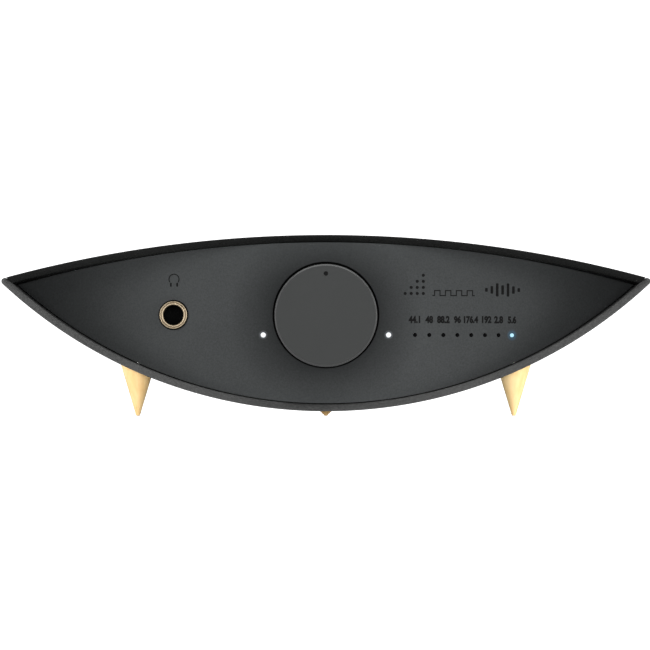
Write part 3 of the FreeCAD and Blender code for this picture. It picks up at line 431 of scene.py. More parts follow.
def strips(rings, closed=True, looped=False):
    """Quads between neighbouring rings of equal length, and from the last to the first if looped."""
    vertices = [vertex for ring in rings for vertex in ring]
    count = len(rings[0])
    faces = []
    for index in range(len(rings) if looped else len(rings) - 1):
        following = (index + 1) % len(rings)
        for step in range(count if closed else count - 1):
            after = (step + 1) % count
            faces.append((index * count + step, index * count + after,
                          following * count + after, following * count + step))
    return vertices, faces


def turned(outline, centre, axis="Y", segments=96, closed=True):
    """The outline, a list of (distance along the axis, radius), swept round the axis."""
    rings = []
    for step in range(segments):
        angle = 2 * math.pi * step / segments
        ring = []
        for along, radius in outline:
            across, up = radius * math.cos(angle), radius * math.sin(angle)
            offset = (across, along, up) if axis == "Y" else (across, up, along)
            ring.append(Vector(centre) + Vector(offset))
        rings.append(ring)
    return strips(rings, closed, looped=True)


def circle(x, z, radius, segments=48):
    return [(x + radius * math.cos(2 * math.pi * step / segments),
             z + radius * math.sin(2 * math.pi * step / segments)) for step in range(segments)]


def rectangle(x0, z0, x1, z1, corner=0.0, steps=5):
    """A rectangle, anticlockwise, with rounded corners if asked."""
    if not corner:
        return [(x0, z0), (x1, z0), (x1, z1), (x0, z1)]
    points = []
    corners = (((x1 - corner), (z0 + corner), -90), ((x1 - corner), (z1 - corner), 0),
               ((x0 + corner), (z1 - corner), 90), ((x0 + corner), (z0 + corner), 180))
    for x, z, start in corners:
        for step in range(steps + 1):
            angle = math.radians(start + 90 * step / steps)
            points.append((x + corner * math.cos(angle), z + corner * math.sin(angle)))
    return points


def inside(point, polygon):
    """Whether a point lies within a polygon."""
    x, z = point
    within = False
    for (x0, z0), (x1, z1) in zip(polygon, polygon[1:] + polygon[:1]):
        if (z0 > z) != (z1 > z) and x < (x1 - x0) * (z - z0) / (z1 - z0) + x0:
            within = not within
    return within


def fill(outline, holes=(), spacing=0.0, margin=0.35):
    """Triangles that fill an outline around its holes, as (points, faces, boundary loops)."""
    loops = [outline, *holes]
    points = [Vector(point) for loop in loops for point in loop]
    edges, start, bounds = [], 0, []
    for loop in loops:
        indices = list(range(start, start + len(loop)))
        edges += list(zip(indices, indices[1:] + indices[:1]))
        bounds.append(indices)
        start += len(loop)
    if spacing:
        xs, zs = [p[0] for p in outline], [p[1] for p in outline]
        fringe = [Vector(point) for loop in loops for point in loop]
        rows = int((max(zs) - min(zs)) / spacing) + 1
        columns = int((max(xs) - min(xs)) / spacing) + 1
        for row in range(rows):
            for column in range(columns):
                x = min(xs) + (column + 0.5 * (row % 2)) * spacing
                z = min(zs) + row * spacing
                if not inside((x, z), outline) or any(inside((x, z), hole) for hole in holes):
                    continue
                if min((Vector((x, z)) - near).length for near in fringe) > spacing * margin:
                    points.append(Vector((x, z)))
    result = delaunay_2d_cdt(points, edges, [], 0, 1e-6)
    found, triangles = result[0], result[2]
    kept = []
    for face in triangles:
        centre = sum((found[index] for index in face), Vector((0, 0))) / len(face)
        flat = tuple(centre)
        if inside(flat, outline) and not any(inside(flat, hole) for hole in holes):
            kept.append(tuple(face))
    renamed = {}
    for new, originals in enumerate(result[3]):
        for original in originals:
            renamed[original] = new
    return found, kept, [[renamed[index] for index in loop] for loop in bounds]


def slab(flat, front, back):
    """A filled outline given thickness. Front and back turn a flat point into a vertex."""
    points, triangles, loops = flat
    count = len(points)
    vertices = [front(p) for p in points] + [back(p) for p in points]
    faces = list(triangles) + [tuple(index + count for index in face) for face in triangles]
    for loop in loops:
        for first, second in zip(loop, loop[1:] + loop[:1]):
            faces.append((first, second, second + count, first + count))
    return vertices, faces


def extruded(outline, holes, front, back, spacing=0.0):
    """A flat plate across Y, from front to back, with holes through it."""
    return slab(fill(outline, holes, spacing), lambda p: (p.x, front, p.y), lambda p: (p.x, back, p.y))


# The two bowed plates

CORNER = 0.18


def rim_loop():
    """The plate's outline in (y, depth below the outer face), once round."""
    steps = 24
    outer = [(RIM_REAR - CORNER + (RIM_FRONT - RIM_REAR + 2 * CORNER) * step / steps, 0.0)
             for step in range(steps + 1)]
    front = []
    for turn in (30, 60, 90):
        angle = math.radians(turn)
        front.append((CORNER * (1 - math.sin(angle)), CORNER * (1 - math.cos(angle))))
    front.append((0.0, BEVEL_LAND - 0.06))
    front.append((0.04, BEVEL_LAND + 0.04))
    front.append((BEVEL_DEPTH - 0.14, PLATE - 0.14))
    front.append((BEVEL_DEPTH - 0.02, PLATE - 0.05))
    front.append((BEVEL_DEPTH + 0.12, PLATE))
    margin = 3
    inner = [(RIM_FRONT + margin + (RIM_REAR - RIM_FRONT - 2 * margin) * step / steps, PLATE)
             for step in range(steps + 1)]
    return (outer + [(RIM_FRONT + y, depth) for y, depth in front] + inner
            + [(RIM_REAR - y, depth) for y, depth in reversed(front)])


ARC_STEPS = 128
ROUND_STEPS = 7


def lower_ring(turn, squeeze):
    """One ring of the lower shell. Turn runs from -1 to 1 between the tips' centres."""
    ring = []
    half = PLATE / 2
    for y, depth in rim_loop():
        radius, centre = lower_arc(y)
        reach = math.asin((WIDTH / 2 - half) / (radius - half))
        spread = half * math.cos(squeeze)
        depth = min(max(depth, half - spread), half + spread)
        angle = reach * turn + math.copysign(half * math.sin(squeeze) / (radius - half), turn)
        ring.append(((radius - depth) * math.sin(angle), y, centre - (radius - depth) * math.cos(angle)))
    return ring


def lower_shell():
    rounds = [math.pi / 2 * step / ROUND_STEPS for step in range(1, ROUND_STEPS + 1)]
    rings = [lower_ring(-1, squeeze) for squeeze in reversed(rounds)]
    rings += [lower_ring(-1 + 2 * step / ARC_STEPS, 0.0) for step in range(ARC_STEPS + 1)]
    rings += [lower_ring(1, squeeze) for squeeze in rounds]
    made = piece("shell_skin", *strips(rings), "shell", sharp=50, stands_for=("lower_shell",))
    recess_screws(made)


def recess_screws(made):
    """Round pockets in the underside for the cover screws."""
    cutter_parts = []
    low, high = box("cover_screws")
    bottom, top = low.z - 12, low.z + SCREW_HEIGHT
    outline = [(bottom, 0.0001), (bottom, SCREW_POCKET_RADIUS), (top, SCREW_POCKET_RADIUS), (top, 0.0001)]
    for x in (low.x + SCREW_RADIUS, high.x - SCREW_RADIUS):
        for y in (low.y + SCREW_RADIUS, high.y - SCREW_RADIUS):
            cutter_parts.append(turned(outline, (x, y, 0), "Z", 48))
    vertices, faces = merge(*cutter_parts)
    mesh = bpy.data.meshes.new("pocket_cutter")
    mesh.from_pydata([Vector(v) * MM for v in vertices], [], faces)
    work = bmesh.new()
    work.from_mesh(mesh)
    bmesh.ops.remove_doubles(work, verts=work.verts, dist=0.001 * MM)
    bmesh.ops.recalc_face_normals(work, faces=work.faces)
    work.to_mesh(mesh)
    work.free()
    cutter = placed("pocket_cutter", mesh)
    modifier = made.modifiers.new("pockets", "BOOLEAN")
    modifier.operation = "DIFFERENCE"
    modifier.solver = "EXACT"
    modifier.object = cutter
    finished = evaluated_mesh(made)
    made.modifiers.clear()
    made.data = finished
    finished.shade_smooth()
    finished.set_sharp_from_angle(angle=math.radians(50))
    bpy.data.objects.remove(cutter)


def upper_ring(turn):
    ring = []
    for y, depth in rim_loop():
        radius, centre = upper_arc(y)
        lower_radius, lower_centre = lower_arc(y)
        stop = (lower_radius - PLATE - TIP_SEAM, lower_centre)
        x, z = crossing((radius - depth, centre), stop)
        angle = math.atan2(x, z - centre) * turn
        ring.append(((radius - depth) * math.sin(angle), y, centre + (radius - depth) * math.cos(angle)))
    return ring


def top_cover():
    rings = [upper_ring(-1 + 2 * step / ARC_STEPS) for step in range(ARC_STEPS + 1)]
    vertices, faces = strips(rings)
    count = len(rings[0])
    faces.append(tuple(range(count)))
    faces.append(tuple(range(len(vertices) - count, len(vertices))))
    piece("cover_skin", vertices, faces, "cover", sharp=50, bevel=0.12, stands_for=("top_cover",))


# Front panel

rate_box = box("rate_light_pipes")
LIGHT_HEIGHT = middle("rate_light_pipes").z
RATE_RADIUS = (rate_box[1].z - rate_box[0].z) / 2
RATE_COUNT = 8


def rate_places():
    """Evenly spaced along the panel's curve, from the first dark lamp to the lit one."""
    first = PANEL_CURVE * math.asin((rate_box[0].x + RATE_RADIUS) / PANEL_CURVE)
    last = PANEL_CURVE * math.asin(middle("lit_light_pipe").x / PANEL_CURVE)
    arcs = [first + (last - first) * index / (RATE_COUNT - 1) for index in range(RATE_COUNT)]
    return [PANEL_CURVE * math.sin(arc / PANEL_CURVE) for arc in arcs]


def lens_edge(y, x, side):
    """Height of the panel's top or bottom edge."""
    if side > 0:
        radius, centre = upper_arc(y)
        return centre + math.sqrt((radius - PLATE - PANEL_GAP_TOP) ** 2 - x * x)
    radius, centre = lower_arc(y)
    return centre - math.sqrt((radius - PLATE - PANEL_GAP) ** 2 - x * x)


def lens_outline(face, steps=110):
    """The panel's outline in (x, z). Face gives the y of the panel at x."""
    def height(x):
        return lens_edge(face(x), x, 1) - lens_edge(face(x), x, -1)
    near, far = 90.0, 102.0
    for _ in range(HALVINGS):
        half_way = (near + far) / 2
        near, far = (half_way, far) if height(half_way) > 0 else (near, half_way)
    tip = near
    xs = [tip * math.sin(math.pi / 2 * step / steps) for step in range(-steps, steps + 1)]
    bottom = [(x, lens_edge(face(x), x, -1)) for x in xs]
    top = [(x, lens_edge(face(x), x, 1)) for x in reversed(xs[1:-1])]
    return bottom + top


def status_places():
    """Radius of the two white lamps, and where they sit across the panel."""
    low, high = box("status_light_pipes")
    radius = (high.z - low.z) / 2
    return radius, (low.x + radius, high.x - radius)


def wrap(x, z, depth):
    """A point of the panel, depth below its outer face along the curve's radius."""
    share = (PANEL_CURVE - depth) / PANEL_CURVE
    return x * share, panel_centre() - math.sqrt(PANEL_CURVE ** 2 - x * x) * share, z


def front_panel():
    axis = middle("knob_cap")
    jack = middle("jack_bushing")
    ring_low, ring_high = box("jack_bushing")
    ring_radius = (ring_high.z - ring_low.z) / 2
    status_radius, status_xs = status_places()
    holes = [circle(axis.x, axis.z + WELL_RISE, WELL_RADIUS, 160),
             circle(jack.x, jack.z, ring_radius + 0.35, 72)]
    holes += [circle(x, LIGHT_HEIGHT, status_radius + 0.05, 32) for x in status_xs]
    holes += [circle(x, LIGHT_HEIGHT, RATE_RADIUS + 0.04, 28) for x in rate_places()]
    flat = fill(lens_outline(panel_face), holes, 2.4)
    panel = slab(flat, lambda p: wrap(p.x, p.y, 0), lambda p: wrap(p.x, p.y, PANEL_WALL))
    piece("panel_skin", *panel, "front_panel", sharp=40, bevel=0.09, stands_for=("front_panel",),
          material=glowing_panel())
    back = box("pot_bushing")[1].y
    wall, shaft_hole = 1.5, 3.7
    floor = back - wall
    front = panel_face(0) + PANEL_WALL - 0.3
    outline = [(front, WELL_RADIUS), (floor, WELL_RADIUS), (floor, shaft_hole), (back, shaft_hole),
               (back, WELL_RADIUS + wall), (front + 1.2, WELL_RADIUS + wall),
               (front + 1.2, WELL_RADIUS + 0.2)]
    well = turned(outline, (axis.x, 0, axis.z), segments=160)
    # The well's walls and floor are near black: painted shade.
    piece("knob_well", *well, "front_panel", material=PAINTED_WELL_SHADE)


def glowing_panel():
    """The panel's moulding with a faint bloom of light round each lit lamp."""
    material = MATERIALS["front_panel"].copy()
    material.name = "panel_with_glow"
    tree = material.node_tree
    shader = tree.nodes["Principled BSDF"]
    white, blue = (0.085, 0.09, 0.1), (0.0, 0.035, 0.07)
    lamps = [(x, white, 1.1) for x in status_places()[1]] + [(middle("lit_light_pipe").x, blue, 1.6)]
    place = tree.nodes.new("ShaderNodeTexCoord").outputs["Object"]
    total = (0.0, 0.0, 0.0)
    for x, colour, reach in lamps:
        centre = Vector((x, panel_face(x), LIGHT_HEIGHT)) * MM
        gap = vector_math(tree, "DISTANCE", place, centre, "Value")
        fade = remap(tree, gap, 1.0, 0.0, RATE_RADIUS * MM, (RATE_RADIUS + reach) * MM)
        fade.node.interpolation_type = "SMOOTHERSTEP"
        total = vector_math(tree, "ADD", vector_math(tree, "SCALE", colour, fade), total)
    tree.links.new(total, shader.inputs["Emission Color"])
    shader.inputs["Emission Strength"].default_value = 1.0
    shade_round_knob(tree, shader, place)
    return material


def shade_round_knob(tree, shader, place):
    """A soft darker band painted on the coat round the well, standing for the knob's shade."""
    axis = middle("knob_cap")
    darkest, reach = 0.56, 14
    flat = vector_math(tree, "MULTIPLY", place, (1.0, 0.0, 1.0))
    gap = vector_math(tree, "DISTANCE", flat, (axis.x * MM, 0.0, axis.z * MM), "Value")
    fade = remap(tree, gap, darkest, 1.0, WELL_RADIUS * MM, (WELL_RADIUS + reach) * MM)
    coat = shader.inputs["Base Color"].links[0].from_socket
    tree.links.new(vector_math(tree, "SCALE", coat, fade), shader.inputs["Base Color"])


def light_pipe(name, x, radius, front, slot):
    """A rod with a domed end, its tip at front."""
    back = box("status_light_pipes")[1].y
    dome = [(front + radius * 0.5 * (1 - math.cos(math.radians(turn))), radius * math.sin(math.radians(turn)))
            for turn in (1, 22, 45, 68, 90)]
    outline = dome + [(back, radius), (back, 0.001)]
    return piece(name, *turned(outline, (x, 0, LIGHT_HEIGHT), segments=32), slot)


def lights():
    radius, xs = status_places()
    for side, x in zip(("left", "right"), xs):
        made = light_pipe(f"status_lens_{side}", x, radius, panel_face(x) - 0.12, "lit_white")
    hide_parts("status_light_pipes")
    places = rate_places()
    for index, x in enumerate(places[:-1]):
        made = light_pipe(f"rate_lens_{index + 1}", x, RATE_RADIUS, panel_face(x) + 0.35, "dark_lens")
    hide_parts("rate_light_pipes")
    made = light_pipe("rate_lens_lit", places[-1], RATE_RADIUS, panel_face(places[-1]) - 0.02, "lit_blue")
    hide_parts("lit_light_pipe")


# Printing on the front panel

INK_LIFT = 0.02
INK_ROOT = 0.01


def ink_material():
    material, tree, shader = new_material("panel_ink")
    cloud = noise(tree, coordinates(tree), 1500.0, 3.0)
    shader.inputs["Specular IOR Level"].default_value = 0.05
    stops = [(0.3, (0.0005, 0.0005, 0.0005)), (0.7, (0.001, 0.001, 0.001))]
    tree.links.new(ramp(tree, cloud, stops), shader.inputs["Base Color"])
    tree.links.new(remap(tree, cloud, 0.4, 0.6), shader.inputs["Roughness"])
    return material


INK = ink_material()


def print_shape(name, shapes):
    """Closed flat shapes of ink, laid on the panel's curve."""
    parts = [slab(fill(outline, (), 0.9), lambda p: wrap(p.x, p.y, -INK_LIFT),
                  lambda p: wrap(p.x, p.y, INK_ROOT)) for outline in shapes]
    return piece(name, *merge(*parts), "front_panel", material=INK)


def ribbon_of(path, width):
    """An even stroke along a path, as one outline."""
    left, right = [], []
    for index, (x, z) in enumerate(path):
        before = path[max(index - 1, 0)]
        after = path[min(index + 1, len(path) - 1)]
        along = Vector((after[0] - before[0], after[1] - before[1])).normalized()
        left.append((x - along.y * width / 2, z + along.x * width / 2))
        right.append((x + along.y * width / 2, z - along.x * width / 2))
    return left + right[::-1]


def print_numbers():
    """The sampling rates above the lamps."""
    rates = ("44.1", "48", "88.2", "96", "176.4", "192", "2.8", "5.6")
    digit_height, base, squeeze = 2.4, 29.7, 0.78
    apart = {"176.4": -0.3, "192": 0.35}
    for index, (rate, x) in enumerate(zip(rates, rate_places())):
        curve = bpy.data.curves.new(f"rate_text_{index + 1}", "FONT")
        curve.body = rate
        curve.align_x = "CENTER"
        curve.resolution_u = 6
        curve.extrude = 0.1
        curve.offset = 0.03
        curve.bevel_depth = 0.025
        holder = placed(curve.name, curve)
        mesh = evaluated_mesh(holder)
        heights = [vertex.co.y for vertex in mesh.vertices]
        low = min(heights)
        scale = digit_height / (max(heights) - low)
        x += apart.get(rate, 0.0)
        vertices = []
        for vertex in mesh.vertices:
            across, up = vertex.co.x * scale * squeeze, (vertex.co.y - low) * scale
            vertices.append(wrap(x + across, base + up, -INK_LIFT if vertex.co.z > 0 else INK_ROOT))
        faces = [tuple(polygon.vertices) for polygon in mesh.polygons]
        bpy.data.objects.remove(holder)
        piece(f"rate_number_{index + 1}", vertices, faces, "front_panel", material=INK)


def print_headphones():
    """The usual symbol for headphones, over the socket."""
    x, z = middle("jack_bushing").x + 0.2, 43.9
    radius, stroke = 1.62, 0.3
    band = [(x + radius * math.cos(math.radians(turn)), z + radius * math.sin(math.radians(turn)))
            for turn in range(-38, 219, 8)]
    pad_x, half = 1.02, 0.27
    pads = [rectangle(x + side * pad_x - half, z - 2.4, x + side * pad_x + half, z - 1.15, 0.18, 3)
            for side in (-1, 1)]
    print_shape("headphone_symbol", [ribbon_of(band, stroke), *pads])


def print_motifs():
    """Plain signs of level and signal: a stair of dots, a pulse train and a row of bars."""
    pitch, left, base = 1.95, 25.4, 39.25
    dots = [circle(left + column * pitch, base + row * pitch, 0.5, 20)
            for column in range(4) for row in range(column + 1)]
    print_shape("level_dots", dots)
    x, low, high, step = 34.0, 38.6, 40.2, 1.75
    path = [(x, low)]
    for index in range(4):
        start = x + step * (2 * index + 0.5)
        path += [(start, low), (start, high), (start + step, high), (start + step, low)]
    path.append((path[-1][0] + step * 0.5, low))
    strokes = []
    half = 0.16
    for (x0, z0), (x1, z1) in zip(path, path[1:]):
        if x0 == x1:
            strokes.append(rectangle(x0 - half, min(z0, z1) - half, x0 + half, max(z0, z1) + half))
        else:
            strokes.append(rectangle(x0 + half, z0 - half, x1 - half, z0 + half))
    print_shape("pulse_line", strokes)
    centre, heights = 40.5, (1.2, 2.4, 4.2, 3.0, 4.2, 2.4, 1.2)
    left, pitch, half = 51.6, 1.75, 0.42
    bars = []
    for index, tall in enumerate(heights):
        x = left + pitch * index
        bars.append(rectangle(x - half, centre - tall / 2, x + half, centre + tall / 2, 0.2, 3))
    print_shape("signal_bars", bars)


# Knob and headphone socket

KNOB_CHAMFER = 0.45


def knob():
    low, high = box("knob_cap")
    centre = (low + high) / 2
    radius = (high.x - low.x) / 2
    face, back = low.y, high.y
    segments = 192
    flat = radius - KNOB_CHAMFER
    marker_radius, marker_offset, marker_depth = 0.73, 13.4, 0.4
    rim = circle(centre.x, centre.z, flat, segments)
    hole = circle(centre.x, centre.z + marker_offset, marker_radius, 40)
    points, triangles, _ = fill(rim, [hole], 2.2)
    disc = ([(p.x, face, p.y) for p in points], triangles)
    hollow = radius - 1.8
    outline = [(face, flat), (face + KNOB_CHAMFER, radius), (back - 0.3, radius), (back, radius - 0.3),
               (back, hollow), (face + 2.4, hollow), (face + 2.4, 5.6)]
    side = turned(outline, (centre.x, 0, centre.z), segments=segments, closed=False)
    floor = face + marker_depth
    marker = [(face, marker_radius), (floor, marker_radius - 0.06), (floor, 0.001)]
    pit = turned(marker, (centre.x, 0, centre.z + marker_offset), segments=40, closed=False)
    shape = merge(disc, side, pit)
    made = piece("knob_skin", *shape, "knob", "volume", sharp=30, stands_for=("knob_cap",))
    made.data.materials.append(metal_edge())
    made.data.materials.append(INK)
    for polygon in made.data.polygons:
        middle_point = polygon.center / MM
        off_axis = math.hypot(middle_point.x - centre.x, middle_point.z - centre.z)
        off_marker = math.hypot(middle_point.x - centre.x, middle_point.z - centre.z - marker_offset)
        if face < middle_point.y - 0.05 < face + KNOB_CHAMFER and off_axis > flat + 0.05:
            polygon.material_index = 1
        if off_marker < marker_radius and middle_point.y > face + 0.1:
            polygon.material_index = 2
    return made


def metal_edge():
    """The knob's cut edge, smoother than its face."""
    material, tree, shader = new_material("knob_edge")
    lines = noise(tree, coordinates(tree, (1, 30, 1)), 600.0, 2.0)
    stops = [(0.3, (0.0085, 0.009, 0.009)), (0.7, (0.012, 0.0126, 0.0126))]
    tree.links.new(ramp(tree, lines, stops), shader.inputs["Base Color"])
    tree.links.new(remap(tree, lines, 0.2, 0.28), shader.inputs["Roughness"])
    return material


def headphone_socket():
    low, high = box("jack_bushing")
    centre = (low + high) / 2
    outer = (high.x - low.x) / 2
    bore = 3.2
    face, end = low.y, high.y
    outline = [(face + 0.45, bore), (face + 0.2, bore + 0.05), (face + 0.05, bore + 0.16), (face, bore + 0.3),
               (face, outer - 0.78), (face + 0.06, outer - 0.69), (face + 0.3, outer - 0.62),
               (face + 0.34, outer - 0.55), (face + 0.3, outer - 0.48), (face + 0.1, outer - 0.42),
               (face + 0.04, outer - 0.34), (face + 0.04, outer - 0.2), (face + 0.12, outer - 0.08),
               (face + 0.3, outer), (end, outer), (end, bore)]
    # The ring takes the darkened gold, painted shade on its reflection.
    piece("jack_ring", *turned(outline, (centre.x, 0, centre.z), segments=128), "gold", sharp=60,
          stands_for=("jack_bushing",), material=SHADED_SOCKET_GOLD)


# Feet

def foot(name):
    low, high = box(name)
    tip = FOOT_TIP
    slope = FOOT_REAR_SLOPE if name == "foot_rear" else FOOT_SLOPE
    x, y = (low.x + high.x) / 2, (low.y + high.y) / 2
    if name != "foot_rear":
        x = math.copysign(FOOT_SPREAD, x)
    segments, rows = 96, 28
    start = tip * 0.45
    nose = [(0.0, 0.001), (0.0, tip * 0.35), (tip * 0.06, tip * 0.62), (tip * 0.2, tip * 0.88), (start, tip)]
    rings = []
    for step in range(segments):
        angle = 2 * math.pi * step / segments
        near, far = tip, high.z + 6
        for _ in range(HALVINGS):
            z = (near + far) / 2
            radius = tip + slope * (z - start)
            above = z > underside(x + radius * math.cos(angle), y + radius * math.sin(angle))
            near, far = (near, z) if above else (z, far)
        heights = [start + (near - start) * row / rows for row in range(1, rows + 1)]
        profile = nose + [(z, tip + slope * (z - start)) for z in heights]
        rings.append([(x + radius * math.cos(angle), y + radius * math.sin(angle), z)
                      for z, radius in profile])
    count = len(rings[0])
    vertices, faces = strips(rings, closed=False, looped=True)
    faces.append(tuple(step * count + count - 1 for step in range(segments)))
    piece(f"{name}_cone", vertices, faces, "wood", sharp=50, stands_for=(name,))


# Rear panel and sockets

def rear_panel():
    tube = 11.7
    back = box("rca_sleeves")[0].y
    face = back + 2.0
    xlr_z = middle("xlr_housing_left").z
    rca_low, rca_high = box("rca_sleeves")
    sleeve = (rca_high.z - rca_low.z) / 2
    usb_low, usb_high = box("usb_shell")
    holes = [circle(middle(name).x, xlr_z, tube, 80) for name in ("xlr_housing_left", "xlr_housing_right")]
    holes += [circle(x, (rca_low.z + rca_high.z) / 2, sleeve + 0.2, 48)
              for x in (rca_low.x + sleeve, rca_high.x - sleeve)]
    holes.append(rectangle(usb_low.x - 0.2, usb_low.z - 0.2, usb_high.x + 0.2, usb_high.z + 0.2, 0.5, 3))
    outline = lens_outline(lambda x: face)
    piece("rear_panel_skin", *extruded(outline, holes, back, face, 5.0), "rear_panel", bevel=0.1,
          stands_for=("rear_panel",))


def xlr_socket(name):
    low, high = box(name)
    centre = (low + high) / 2
    flange_back = high.y - 2.0
    bore = 8.1
    outline = rectangle(low.x, low.z, high.x, high.z, 2.5, 8)
    screws = [circle(centre.x + XLR_SCREW_X * side, centre.z - XLR_SCREW_Z * side, 1.7, 32)
              for side in (-1, 1)]
    flange = extruded(outline, [circle(centre.x, centre.z, 9.4, 96), *screws], flange_back, high.y, 3.0)
    piece(f"{name}_flange", *flange, "xlr_metal", bevel=0.25, stands_for=(name,))
    tube = [(low.y, bore), (low.y, 11.5), (flange_back, 11.5), (flange_back, 9.38), (high.y, 9.38),
            (high.y, 9.3), (high.y + 0.35, 9.0), (high.y + 0.35, 8.6), (high.y - 0.05, bore + 0.1),
            (high.y - 0.5, bore)]
    piece(f"{name}_barrel", *turned(tube, (centre.x, 0, centre.z), segments=128), "xlr_metal", sharp=40)
    for index, (x, z) in enumerate(((-3.81, 2.2), (3.81, 2.2), (0.0, -4.4))):
        outline = [(58.5, 0.001), (58.5, 1.2), (70.0, 1.2), (70.5, 1.1), (70.85, 0.85), (71.0, 0.5),
                   (71.0, 0.001)]
        pin = turned(outline, (centre.x + x, 0, centre.z + z), segments=32)
        piece(f"{name}_pin_{index + 1}", *pin, "gold", sharp=60)


def cap_screw(name, centre, slot, axis, direction, radius=SCREW_RADIUS, height=SCREW_HEIGHT):
    """A button head with a six-sided socket. The centre is under the head."""
    rise = [(0.0, radius), (0.5, radius), (1.0, radius * 0.93), (1.5, radius * 0.76), (height, radius * 0.52)]
    outline = [(along * direction, across) for along, across in rise]
    socket = 1.2
    outline += [(height * direction, socket * 1.05), ((height - 0.12) * direction, socket)]
    segments = 60
    head = turned(outline, (0, 0, 0), axis, segments, closed=False)
    floor = (height - 1.1) * direction
    hexagon = []
    count = len(outline)
    for step in range(segments):
        angle = 2 * math.pi * step / segments
        sector = (angle + math.pi / 6) % (math.pi / 3) - math.pi / 6
        reach = socket * math.cos(math.pi / 6) / math.cos(sector)
        hexagon.append((reach * math.cos(angle), reach * math.sin(angle)))
    vertices, faces = head
    rim = len(vertices)
    for level in ((height - 0.12) * direction, floor):
        for across, up in hexagon:
            vertices.append(Vector((across, level, up) if axis == "Y" else (across, up, level)))
    for step in range(segments):
        after = (step + 1) % segments
        faces.append((step * count + count - 1, after * count + count - 1, rim + after, rim + step))
        faces.append((rim + step, rim + after, rim + segments + after, rim + segments + step))
    faces.append(tuple(rim + segments + step for step in range(segments)))
    faces.append(tuple(step * count for step in range(segments)))
    vertices = [Vector(centre) + Vector(vertex) for vertex in vertices]
    return piece(name, vertices, faces, slot, sharp=40)


def outside_screws():
    """The screws that show: four under the case and two in each XLR flange."""
    low, high = box("cover_screws")
    xs = (low.x + SCREW_RADIUS, high.x - SCREW_RADIUS)
    ys = (low.y + SCREW_RADIUS, high.y - SCREW_RADIUS)
    places = [(x, y, low.z + SCREW_HEIGHT) for y in ys for x in xs]
    for index, place in enumerate(places):
        made = cap_screw(f"cover_screw_{index + 1}", place, "black_screws", "Z", -1)
    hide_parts("cover_screws")
    number = 0
    for name in ("xlr_housing_left", "xlr_housing_right"):
        housing_low, housing_high = box(name)
        centre = (housing_low + housing_high) / 2
        for side in (-1, 1):
            number += 1
            at = (centre.x + XLR_SCREW_X * side, housing_high.y, centre.z - XLR_SCREW_Z * side)
            made = cap_screw(f"xlr_screw_{number}", at, "black_screws", "Y", 1)
    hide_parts("xlr_screws")


def rca_sockets():
    low, high = box("rca_sleeves")
    radius = (high.z - low.z) / 2
    z = (low.z + high.z) / 2
    start, end = low.y, high.y
    for side, x in (("left", low.x + radius), ("right", high.x - radius)):
        sleeve = [(start, radius - 0.7), (start, radius), (end - 0.35, radius), (end - 0.1, radius - 0.08),
                  (end, radius - 0.25), (end, radius - 0.5), (end - 0.15, radius - 0.66),
                  (end - 0.4, radius - 0.7)]
        made = piece(f"rca_sleeve_{side}", *turned(sleeve, (x, 0, z), segments=96), "gold", sharp=50)
        core = [(start, 1.65), (start, radius - 0.74), (end - 0.7, radius - 0.74), (end - 0.6, radius - 0.9),
                (end - 0.6, 2.2), (end - 0.75, 1.95), (end - 1.2, 1.65)]
        insert = piece(f"rca_core_{side}", *turned(core, (x, 0, z), segments=72), "white_plastic", sharp=50)
        ring_name = f"rca_ring_{side}"
        ring_low, ring_high = box(ring_name)
        outer = (ring_high.z - ring_low.z) / 2
        face, top = ring_low.y, ring_high.y
        ring = [(face, radius + 0.03), (face, outer), (top - 0.35, outer), (top - 0.1, outer - 0.1),
                (top, outer - 0.35), (top, radius + 0.25), (top - 0.15, radius + 0.03)]
        piece(f"{ring_name}_skin", *turned(ring, (x, 0, z), segments=96), SLOT_OF[ring_name], sharp=50,
              stands_for=(ring_name,))
    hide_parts("rca_sleeves")
    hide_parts("rca_inserts")


def usb_socket():
    low, high = box("usb_shell")
    front, back = low.y, high.y
    wall = 0.4
    outline = rectangle(low.x, low.z, high.x, high.z, 0.7, 5)
    hollow = rectangle(low.x + wall, low.z + wall, high.x - wall, high.z - wall, 0.45, 5)
    frame_shape = extruded(outline, [hollow], front, back)
    piece("usb_frame", *frame_shape, "nickel", bevel=0.08, stands_for=("usb_shell",))
    middle_z = (low.z + high.z) / 2
    mouth = [(-4.45, -4.1), (4.45, -4.1), (4.45, 2.4), (2.9, 4.1), (-2.9, 4.1), (-4.45, 2.4)]
    mouth = [(x, middle_z + z) for x, z in mouth]
    inset = wall + 0.02
    inner = rectangle(low.x + inset, low.z + inset, high.x - inset, high.z - inset, 0.4, 5)
    depth = back - 9.3
    frame_part = extruded(inner, [mouth], depth, back - 0.3)
    floor_part = extruded(inner, [], depth - 1.0, depth)
    piece("usb_mouth", *merge(frame_part, floor_part), "black_plastic", bevel=0.06, stands_for=("usb_core",))
    tongue = extruded(rectangle(-2.8, middle_z - 1.6, 2.8, middle_z + 1.6, 0.25, 3), [], depth, back - 1.2)
    piece("usb_tongue", *tongue, "black_plastic", bevel=0.12)


# Stage, light and camera

def stage():
    """A pale floor that fades into an even pale surround."""
    mesh = bpy.data.meshes.new("floor")
    reach = 12.0
    corners = [(-reach, -reach, 0), (reach, -reach, 0), (reach, reach, 0), (-reach, reach, 0)]
    mesh.from_pydata(corners, [], [(0, 1, 2, 3)])
    floor = placed("floor", mesh)
    material, tree, shader = new_material("floor_paint")
    cloud = noise(tree, coordinates(tree), 3.0, 2.0)
    stops = [(0.3, (0.86, 0.86, 0.86)), (0.7, (0.88, 0.88, 0.88))]
    tree.links.new(ramp(tree, cloud, stops), shader.inputs["Base Color"])
    shader.inputs["Roughness"].default_value = 1.0
    shader.inputs["Specular IOR Level"].default_value = 0.0
    mesh.materials.append(material)
    bpy.context.scene.world = surround()


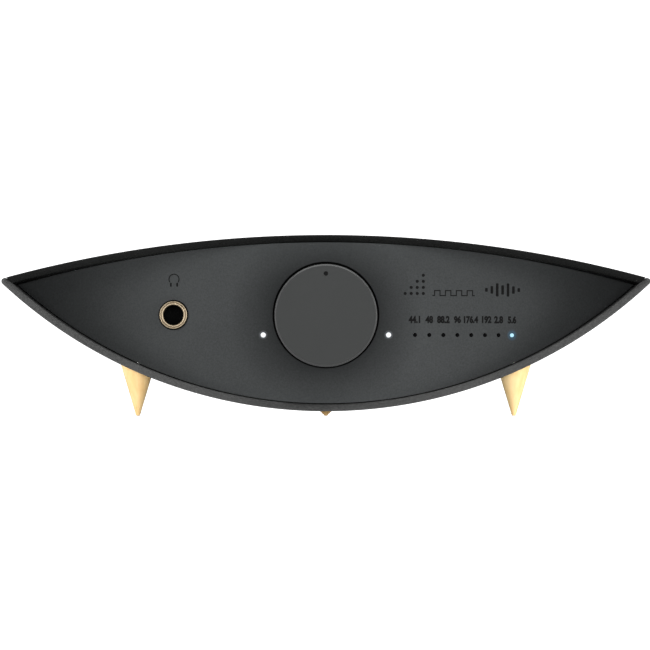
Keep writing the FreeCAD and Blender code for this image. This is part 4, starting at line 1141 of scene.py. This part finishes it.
def surround():
    """White all round the horizon, dimmer overhead."""
    world = bpy.data.worlds.new("surround")
    world.use_nodes = True
    tree = world.node_tree
    direction = tree.nodes.new("ShaderNodeTexCoord").outputs["Generated"]
    height = add(tree, "ShaderNodeSeparateXYZ", Vector=direction).outputs["Z"]
    background = tree.nodes["Background"]
    background.inputs["Color"].default_value = (1.0, 1.0, 1.0, 1.0)
    tree.links.new(remap(tree, height, 1.5, 0.7, 0.3, 0.8), background.inputs["Strength"])
    return world


def aim(made, place, target):
    made.location = place
    made.rotation_mode = "QUATERNION"
    made.rotation_quaternion = (Vector(target) - Vector(place)).to_track_quat("-Z", "Y")


def area_light(name, place, target, size, power):
    light = bpy.data.lights.new(name, "AREA")
    light.shape = "RECTANGLE"
    light.size, light.size_y = size
    light.energy = power
    aim(placed(name, light), place, target)


def lighting():
    area_light("overhead_softbox", (0.0, -0.25, 1.1), (0.0, -0.05, 0.03), (3.0, 0.12), 8.0)
    area_light("front_softbox", (0.0, -3.2, 0.04), (0.0, -0.07, 0.03), (1.2, 0.07), 60.0)
    area_light("back_softbox", (0.0, 1.7, 0.50), (0.0, 0.07, 0.03), (1.4, 0.74), 12.0)
    for side, power in ((-1, 17.0), (1, 25.0)):
        area_light(f"side_softbox_{side}", (1.6 * side, -0.85, 0.4), (0.0, -0.06, 0.03), (1.0, 0.8), power)
    sun = bpy.data.lights.new("soft_ceiling", "SUN")
    sun.energy = 1.3
    sun.angle = math.radians(70)
    placed("soft_ceiling", sun).location = (0.0, 0.0, 2.0)


VIEW_DISTANCE = 2500.0
VIEW_HEIGHT = 1.0
VIEW_AIM = (-0.29, 29.1)
VIEW_WIDTH = 208.2
SENSOR = 36.0


def camera():
    """A long lens near table height, aimed at the middle of the front rim."""
    data = bpy.data.cameras.new("camera")
    data.sensor_width = SENSOR
    data.lens = SENSOR * VIEW_DISTANCE / VIEW_WIDTH
    data.clip_start, data.clip_end = 0.05, 50.0
    made = placed("camera", data)
    target = Vector((VIEW_AIM[0], RIM_FRONT, VIEW_AIM[1])) * MM
    aim(made, Vector((VIEW_AIM[0], RIM_FRONT - VIEW_DISTANCE, VIEW_HEIGHT)) * MM, target)
    bpy.context.scene.camera = made


camera()
stage()
lighting()
lower_shell()
top_cover()
front_panel()
lights()
print_numbers()
print_headphones()
print_motifs()
knob()
headphone_socket()
for foot_name in ("foot_front_left", "foot_front_right", "foot_rear"):
    foot(foot_name)
rear_panel()
for housing in ("xlr_housing_left", "xlr_housing_right"):
    xlr_socket(housing)
outside_screws()
rca_sockets()
usb_socket()
bpy.context.scene.view_settings.view_transform = "Standard"
